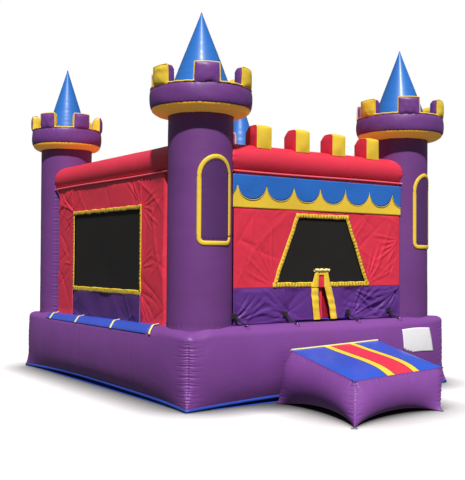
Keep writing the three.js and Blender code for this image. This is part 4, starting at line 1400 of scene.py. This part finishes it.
def make_roof():
    """The slack cover between the beams, with three seams; the towers are cut out of it."""
    low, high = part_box("roof_cover")
    x = np.linspace(low.x - 0.06, high.x + 0.06, 150)
    y = np.linspace(low.y - 0.06, high.y + 0.06, 170)
    gx, gy = grid(x, y)
    a, b = gx / x[-1], gy / y[-1]
    sag = 0.09 * (1 - a ** 2) * (1 - b ** 2)
    edge = np.minimum(x[-1] - np.abs(gx), y[-1] - np.abs(gy))
    folds = creases(gx, gy, 300, 40, 0.010, 0.05, 0.7) + 0.006 * flat_ripple(gx, gy, 0.8, 301)
    lip = 0.028 * bell(edge, 0.05)
    z = high.z - 0.006 - sag + np.clip(folds, -0.03, 0.012) * smooth(0, 0.2, edge) + lip
    mid_x, mid_y = cell_middles(gx), cell_middles(gy)
    mask = np.hypot(np.abs(mid_x) - TOWER_X, np.abs(mid_y) - TOWER_Y) > COLUMN_R + 0.012
    roof = slab("roof_cover", np.stack([gx, gy, z], -1), FABRIC, SHEET_RED, mask, normal=(0, 0, 1))
    keep(roof, replaces="roof_cover")
    seams = []
    for place in (-0.95, 0.0, 0.95):
        line = np.linspace(y[0] + 0.1, y[-1] - 0.1, 60)
        level = high.z - 0.006 - 0.09 * (1 - (place / x[-1]) ** 2) * (1 - (line / y[-1]) ** 2) + 0.006
        path = np.stack([np.full_like(line, place), line, level], 1)
        seams.append(tube("seam", path, 0.010, SHEET_RED, 8, flat=0.5))
    keep(join("roof_seams", seams))


STEP_TURN = math.radians(-1)
STEP_AT = (-0.740, -2.420, 0)
STEP_W, STEP_D, STEP_BACK, STEP_FRONT = 1.24, 1.03, 0.612, 0.404  # width, depth, heights of back and front
# how the four corners lean, front left, front right, back left, back right: the foot tips and the top
STEP_TIPS = ((-0.285, -0.300), (-0.130, -0.110), (-0.110, 0.110), (-0.010, 0.030))
STEP_CROWN = ((-0.010, 0.000), (0.110, 0.075), (0.000, 0.000), (0.080, 0.030))
STEP_TILT = 0.020  # the right side stands higher
STRIPES = (-0.30, -0.14, 0.28, 0.42)  # edges of the three stripes, from -1 to 1 across the step


def step_place(points):
    turn = Matrix.Rotation(STEP_TURN, 3, "Z")
    return points @ np.array(turn).T + np.array(STEP_AT)


def step_top(y):
    """Height of the step's top at a depth y from 0 at its back to -STEP_D at its front."""
    return STEP_BACK + (STEP_BACK - STEP_FRONT) / STEP_D * y


def blow_up(points, faces, hold, pressure, frames, cap):
    """Inflates a closed skin with Blender's cloth and returns how far each point moved, softly limited to cap.
    hold says how firmly each point keeps its place."""
    skin = new_object("cloth_trial", points, faces, PURPLE)
    group = skin.vertex_groups.new(name="hold")
    for value in np.unique(hold):
        group.add(np.nonzero(hold == value)[0].tolist(), float(value), "REPLACE")
    cloth = skin.modifiers.new("cloth", "CLOTH")
    settings = cloth.settings
    settings.quality, settings.mass = 6, 0.25
    settings.tension_stiffness, settings.compression_stiffness = 14, 12
    settings.shear_stiffness, settings.bending_stiffness = 6, 0.5
    settings.tension_damping, settings.compression_damping, settings.air_damping = 10, 10, 3
    settings.use_pressure, settings.uniform_pressure_force = True, pressure
    settings.effector_weights.gravity = 0
    settings.vertex_group_mass, settings.pin_stiffness = "hold", 1.5
    cloth.collision_settings.use_collision = False
    cloth.point_cache.frame_start, cloth.point_cache.frame_end = 1, frames
    for frame_number in range(1, frames + 1):
        bpy.context.scene.frame_set(frame_number)
    shown = skin.evaluated_get(bpy.context.evaluated_depsgraph_get()).data
    moved = np.zeros(len(points) * 3)
    shown.vertices.foreach_get("co", moved)
    bpy.data.objects.remove(skin)
    bpy.context.scene.frame_set(1)
    shift = moved.reshape(-1, 3) - points
    size = np.linalg.norm(shift, axis=1, keepdims=True)
    return shift * cap * np.tanh(size / cap) / np.maximum(size, 1e-9)


def spread(known, values, points, reach):
    """Carries values over from known points to other points as smooth weighted means."""
    result = np.zeros_like(points)
    for first in range(0, len(points), 2000):
        part = points[first:first + 2000]
        gap = ((part[:, None] - known[None]) ** 2).sum(2)
        weight = np.exp(-gap / reach ** 2) + 1e-12
        result[first:first + 2000] = weight @ values / weight.sum(1, keepdims=True)
    return result


def step_start(cube):
    """The step before it is blown up: leaning corners, splayed foot tips, edges drawn in and lifted between."""
    a, b, c = cube.T
    share = (c + 1) / 2
    weight = np.stack([(1 - a) * (1 - b), (1 + a) * (1 - b), (1 - a) * (1 + b), (1 + a) * (1 + b)], 1) / 4
    low = 1 - share
    shift = (weight ** 2.6) @ np.array(STEP_TIPS) * (low ** 1.3)[:, None]
    shift += weight @ np.array(STEP_CROWN) * share[:, None]
    shift[:, 0] -= 0.075 * weight[:, 2] ** 2 * np.sin(math.pi * share ** 1.5)  # the back left seam bows out
    swell = 0.045 * np.sin(math.pi * share) ** 0.8 - 0.035 * low ** 3 - 0.030 * low ** 14
    on_x, on_y = side_share(a, c), side_share(b, c)
    x = STEP_W / 2 * (1 + a) + shift[:, 0] + np.sign(a) * on_x * swell * (1 - np.abs(b) ** 5)
    y = -STEP_D / 2 * (1 - b) + shift[:, 1] + np.sign(b) * on_y * swell * (1 - np.abs(a) ** 5)
    flat = step_top(-STEP_D / 2 * (1 - b)) - 0.004 + STEP_TILT * a
    z = share * flat + 0.050 * (1 - a ** 2 * b ** 2) * low ** 2
    return np.stack([x, y, z], 1)


def make_step():
    """A wedge-topped cushion: its sides swell between gathered corner seams, its foot stands on its tips."""
    cube, faces, _ = cube_shell([edge_lines(-1, (1,), step) for step in (0.07, 0.08, 0.13)])
    rough = step_start(cube)
    edges = (np.abs(cube) > 0.999).sum(1)
    hold = np.where(cube[:, 2] < -0.999, 1.0, np.where(edges > 1, 0.7, np.where(cube[:, 2] > 0.999, 0.30, 0.0)))
    air = blow_up(rough, faces, hold, 9.0, 18, 0.06)
    across = edge_lines(-1, (*STRIPES, 1), 0.015)
    cube, faces, sides = cube_shell([across, edge_lines(-1, (1,), 0.020), edge_lines(-1, (1,), 0.024)])
    a, b, c = cube.T
    share = (c + 1) / 2
    on_x, on_y, on_top = np.abs(a) > 0.999, np.abs(b) > 0.999, c > 0.999
    upright = on_x | on_y
    start = step_start(cube)
    risen = spread(rough, air, start, 0.045)
    risen[:, 2] *= 1 - 0.85 * smooth(-0.7, 0.9, b) * share ** 4
    local = start + risen
    flat = start[:, 2] / np.maximum(share, 1e-6)
    # seams come after the air: fine pleats beside the upright corners, short gathers under the top edges
    across_seam = np.where(on_x, (1 - np.abs(b)) * STEP_D / 2, (1 - np.abs(a)) * STEP_W / 2)
    to_top = np.maximum(flat - start[:, 2], 0)
    level = smooth(0.03, 0.12, share) * (1 - smooth(0.95, 1.0, share))
    z = local[:, 2]
    run = 0.035 + 0.055 * puckers(z, 0.08, 2.0)
    pleat = 0.007 * (1 - 0.6 * smooth(-0.3, 0.6, b)) * puckers(z, 0.030, 4.0) * bell(across_seam, run)
    pleat = pleat + 0.004 * bell(across_seam, 0.008)
    along = np.where(on_y, local[:, 0], local[:, 1])
    length = 0.030 + 0.040 * puckers(along, 0.16, 6.0)
    fringe = 0.009 * puckers(along, 0.040, 9.0) * bell(to_top, length) * smooth(0.0, 0.012, to_top)
    draw = np.where(upright, pleat * level + fringe, 0)
    local[:, 0] -= np.where(on_x, np.sign(a), np.sign(a) * 0.6 * (across_seam < 0.06)) * draw
    local[:, 1] -= np.where(on_y, np.sign(b), np.sign(b) * 0.6 * (across_seam < 0.06)) * draw
    local[:, 2] = np.maximum(local[:, 2], 0.002)
    placed = step_place(local)
    body = new_object("step_cushion", placed, faces, PURPLE)
    keep(body, replaces="step_body")

    # the striped cover is sewn over the whole top
    top = np.nonzero(sides == 5)[0]
    middle = cube[faces[top]].mean(1)[:, 0]
    stripe = np.select([middle < edge for edge in STRIPES], [0, 1, 2, 1], 0)
    cover = overlay("step_cover", placed, faces, top, 0.0035, FABRIC, [STEP_BLUE, YELLOW, RED], stripe)
    keep(cover, replaces="step_cover")
    edging = []
    for place in STRIPES:
        row = np.nonzero(on_top & (np.abs(a - place) < 1e-6))[0]
        row = row[np.argsort(b[row])][1:-1]
        edging.append(tube("edging", placed[row] + (0, 0, 0.0035), 0.0030, DARK_THREAD, 6))
    row = np.nonzero(on_top & (b > 0.999))[0]
    row = row[np.argsort(a[row])]
    edging.append(tube("back_edge", placed[row] + (0, 0.004, 0.006), 0.0100, PIPING, 8))
    keep(join("step_edging", edging))
    # a webbing tab at each splayed tip
    tabs = []
    for pa, pb in ((-1, -1), (1, -1)):
        tip = placed[np.nonzero((a == pa) & (b == pb) & (c == -1))[0][0]]
        gu, gv = grid(np.linspace(-1, 1, 6), np.linspace(0, 1, 8))
        px = tip[0] + pa * (gv * 0.030 - 0.012) + gu * 0.020
        py = tip[1] + pb * (gv * 0.030 - 0.012) - gu * pa * pb * 0.020
        pz = 0.006 + 0.004 * np.sin(gv * 4) + 0 * gu
        tabs.append(slab("tab", np.stack([px, py, pz], -1), FABRIC, GREY_WEB, normal=(0, 0, 1)))
    keep(join("step_tabs", tabs))


def make_ledges(skin):
    """Blue padded strips that follow the shoulders of the bed, each crossed by four yellow bands."""
    for side, sign in (("left", -1), ("right", 1)):
        low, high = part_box(f"ledge_pad_{side}")

        def lay(y, share, lift):
            """A point on the shoulder: share 0 at the wall's foot, 1 at the pad's lower edge."""
            angle = math.radians(64 - 46 * share)
            out = (sign * math.cos(angle), 0, math.sin(angle))
            hit = on_skin(skin, (sign * (WALL_X - 0.098), y, BED_TOP - 0.20), out)
            return (hit.x + out[0] * lift, y, hit.z + out[2] * lift)

        ys, shares = np.linspace(low.y, high.y, 120), np.linspace(0, 1, 22)

        def swell(y, share):
            pillows = 0.6 + 0.4 * abs(math.sin(math.pi * (y - low.y) / 0.96))
            return 0.008 + 0.008 * math.sin(math.pi * share) * pillows

        points = np.array([[lay(y, t, swell(y, t)) for t in shares] for y in ys])
        pad = slab("pad", points if sign < 0 else points[:, ::-1], 0.006, LEDGE_BLUE)
        bands = []
        for place in (-1.37, -0.41, 0.62, 1.47):
            strip = np.array([[lay(place + w * 0.020 - 0.13 * t, t, 0.019) for t in np.linspace(0, 1, 24)]
                              for w in np.linspace(-1, 1, 7)])
            bands.append(slab("band", strip if sign < 0 else strip[:, ::-1], 0.004, PIPING))
        keep(join(f"ledge_{side}", [pad, *bands]), replaces=f"ledge_pad_{side}")


def make_straps():
    """Black webbing sewn to the front panels, lying over the ledge to a steel ring."""
    for k in range(1, 5):
        low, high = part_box(f"tie_strap_{k}")
        x = (low.x + high.x) / 2
        ring_low, ring_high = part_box(f"strap_ring_{k}")
        bar_y, bar_z = ring_high.y - 0.003, (ring_low.z + ring_high.z) / 2
        rest = BED_TOP + 0.005
        skew = 0.09 if k == 3 else 0.10  # how far left of its ring a strap is sewn on
        wall = -WALL_Y - 0.022
        p = np.array([
            (x - skew, wall, high.z - 0.01), (x - skew * 0.9, wall - 0.004, 0.95),
            (x - skew * 0.6, wall - 0.012, 0.91), (x - skew * 0.3, wall - 0.035, rest + 0.020),
            (x, wall - 0.06, rest + 0.008), (x, bar_y + 0.02, rest + 0.006),
            (x, bar_y + 0.004, bar_z + 0.006), (x, bar_y - 0.004, bar_z + 0.005)])
        t = np.linspace(0, len(p) - 1, 60)
        line = np.stack([np.interp(t, np.arange(len(p)), p[:, i]) for i in range(3)], 1)
        kernel = np.ones(7) / 7
        for i in range(3):
            line[3:-3, i] = np.convolve(line[:, i], kernel, "valid")
        d = np.gradient(line, axis=0)
        d /= np.linalg.norm(d, axis=1, keepdims=True)
        wide = np.linspace(-1, 1, 7)
        twist = 0.25 * np.sin(t / t[-1] * math.pi * 2 + k)[:, None]
        across = np.stack([np.cos(twist), 0.15 * np.sin(twist), np.sin(twist) * 0.35], -1)
        points = line[:, None] + across * wide[None, :, None] * 0.0215
        band = slab("web", points[:, ::-1], FABRIC, WEB)
        patch_z = np.linspace(high.z - 0.05, high.z + 0.01, 8)
        gx, gz = grid(np.linspace(x - skew - 0.035, x - skew + 0.035, 8), patch_z)
        patch = slab("patch", on_side("front")(gx, 0.0235, gz), FABRIC, WEB)
        keep(join(f"tie_strap_{k}_web", [band, patch]), replaces=f"tie_strap_{k}")
        ring = steel_ring(f"strap_ring_{k}_steel", x, bar_y, bar_z, ring_high.x - ring_low.x,
                          bar_y - ring_low.y)
        keep(ring, f"strap_ring_{k}", f"strap_ring_{k}")


def steel_ring(name, x, bar_y, bar_z, width, reach):
    """A D-shaped ring: a straight bar and a half round in front of it."""
    r = 0.003
    half, far = width / 2 - r, reach - r
    path = [(half * t, 0) for t in np.linspace(1, -1, 9)]
    path += [(-half, -far * t) for t in np.linspace(0.1, 0.5, 4)]
    bend = np.linspace(0.1, math.pi - 0.1, 16)
    path += [(-half * math.cos(t), -far * 0.5 - far * 0.5 * math.sin(t)) for t in bend]
    path += [(half, -far * t) for t in np.linspace(0.5, 0.1, 4)]
    points = [(x + px, bar_y + py, bar_z) for px, py in path]
    return tube(name, points, r, STEEL, 12, closed=True)


def make_label(skin):
    """A blank white sheet on the right of the front face, with one corner cut away."""
    gu, gz = grid(np.linspace(0, 1, 24), np.linspace(0, 1, 20))
    x = BED_X - 0.84 + gu * 0.50 + 0.05 * (1 - gz) * gu
    z = 0.425 + gz * 0.30 + 0.012 * np.sin(3 * gu)
    y = [[on_skin(skin, (px, -BED_Y + 0.5, pz), (0, -1, 0)).y - 0.004 for px, pz in zip(*row)]
         for row in zip(x, z)]
    cut = (gz[:-1, :-1] + gu[:-1, :-1] * 0.7) > 0.16
    label = slab("blank_label", np.stack([x, y, z], -1), 0.0015, WHITE, cut)
    keep(label)


def make_back():
    """The tied sleeve of the blower and the deflation flap at the rear."""
    low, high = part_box("inflation_sleeve")
    x, z = (low.x + high.x) / 2, (low.z + high.z) / 2
    r = (high.x - low.x) / 2
    along = np.linspace(low.y - 0.02, high.y, 70)
    t = np.linspace(0, 2 * math.pi, 48, endpoint=False)
    ga, gt = grid(along, t)
    share = (ga - along[0]) / (along[-1] - along[0])
    tie = 0.030 * bell(share - 0.72, 0.05)
    gathered = bell(share - 0.72, 0.09) + np.exp(-share / 0.05)
    radius = r - 0.004 - tie - 0.006 * puckers(gt * r, 0.06, 5) * gathered
    outer = np.stack([x + radius * np.cos(gt), ga, z + radius * np.sin(gt)], -1)
    inner = np.stack([x + (radius - 0.005) * np.cos(gt), ga, z + (radius - 0.005) * np.sin(gt)], -1)
    loop = np.concatenate([outer, inner[::-1]])
    faces = grid_faces(140, 48, wrap_u=True, wrap_v=True).tolist()
    sleeve = new_object("sleeve", loop, faces, PURPLE)
    tied_at = along[0] + 0.72 * (along[-1] - along[0])
    ring = [(x + (r - 0.022) * math.cos(a), tied_at, z + (r - 0.022) * math.sin(a)) for a in t]
    strap = tube("strap", ring, 0.018, WEB, 8, closed=True, flat=0.25, up=(0, 1, 0))
    keep(join("inflation_sleeve", [sleeve, strap]), replaces="inflation_sleeve")

    low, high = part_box("deflation_flap")
    gx, gz = grid(np.linspace(high.x, low.x, 40), np.linspace(low.z, high.z, 32))
    a = (gx - (low.x + high.x) / 2) / (high.x - low.x) * 2
    b = (gz - (low.z + high.z) / 2) / (high.z - low.z) * 2
    y = high.y + 0.004 * (1 - a ** 4) * (1 - b ** 4) + 0.001 * flat_ripple(gx, gz, 0.15, 3)
    flap = slab("flap", np.stack([gx, y, gz], -1), 0.006, DEEP)
    loop = [((low.x + high.x) / 2 + px * 0.195, (low.z + high.z) / 2 + pz * 0.145)
            for px, pz in ((-1, 1), (-1, -1), (1, -1), (1, 1))]
    edges = []
    for (x0, z0), (x1, z1) in zip(loop, loop[1:]):
        line = np.stack([np.linspace(x0, x1, 20), np.full(20, high.y + 0.004), np.linspace(z0, z1, 20)], 1)
        edges.append(tube("edge", line, 0.010, WEB, 8, flat=0.4, up=(0, 1, 0)))
    keep(join("deflation_flap", [flap, *edges]), "deflation_flap", "deflation_flap")


make_camera()
make_light()
make_floor()
bed_skin = make_bed()
make_floor_sheet()
for seed, (name, (sx, sy, turn, purple)) in enumerate(CORNERS.items()):
    make_tower(name, sx, sy, turn, purple, 10 * seed + 3)
make_arches()
for side in ("front", "rear", "left", "right"):
    make_beam(side)
make_beam_merlons()
make_front_wall()
for seed, side in enumerate(("left", "right", "rear")):
    make_side_wall(side, 200 + 20 * seed)
make_door()
make_roof()
make_step()
make_ledges(bed_skin)
make_straps()
make_label(bed_skin)
make_back()
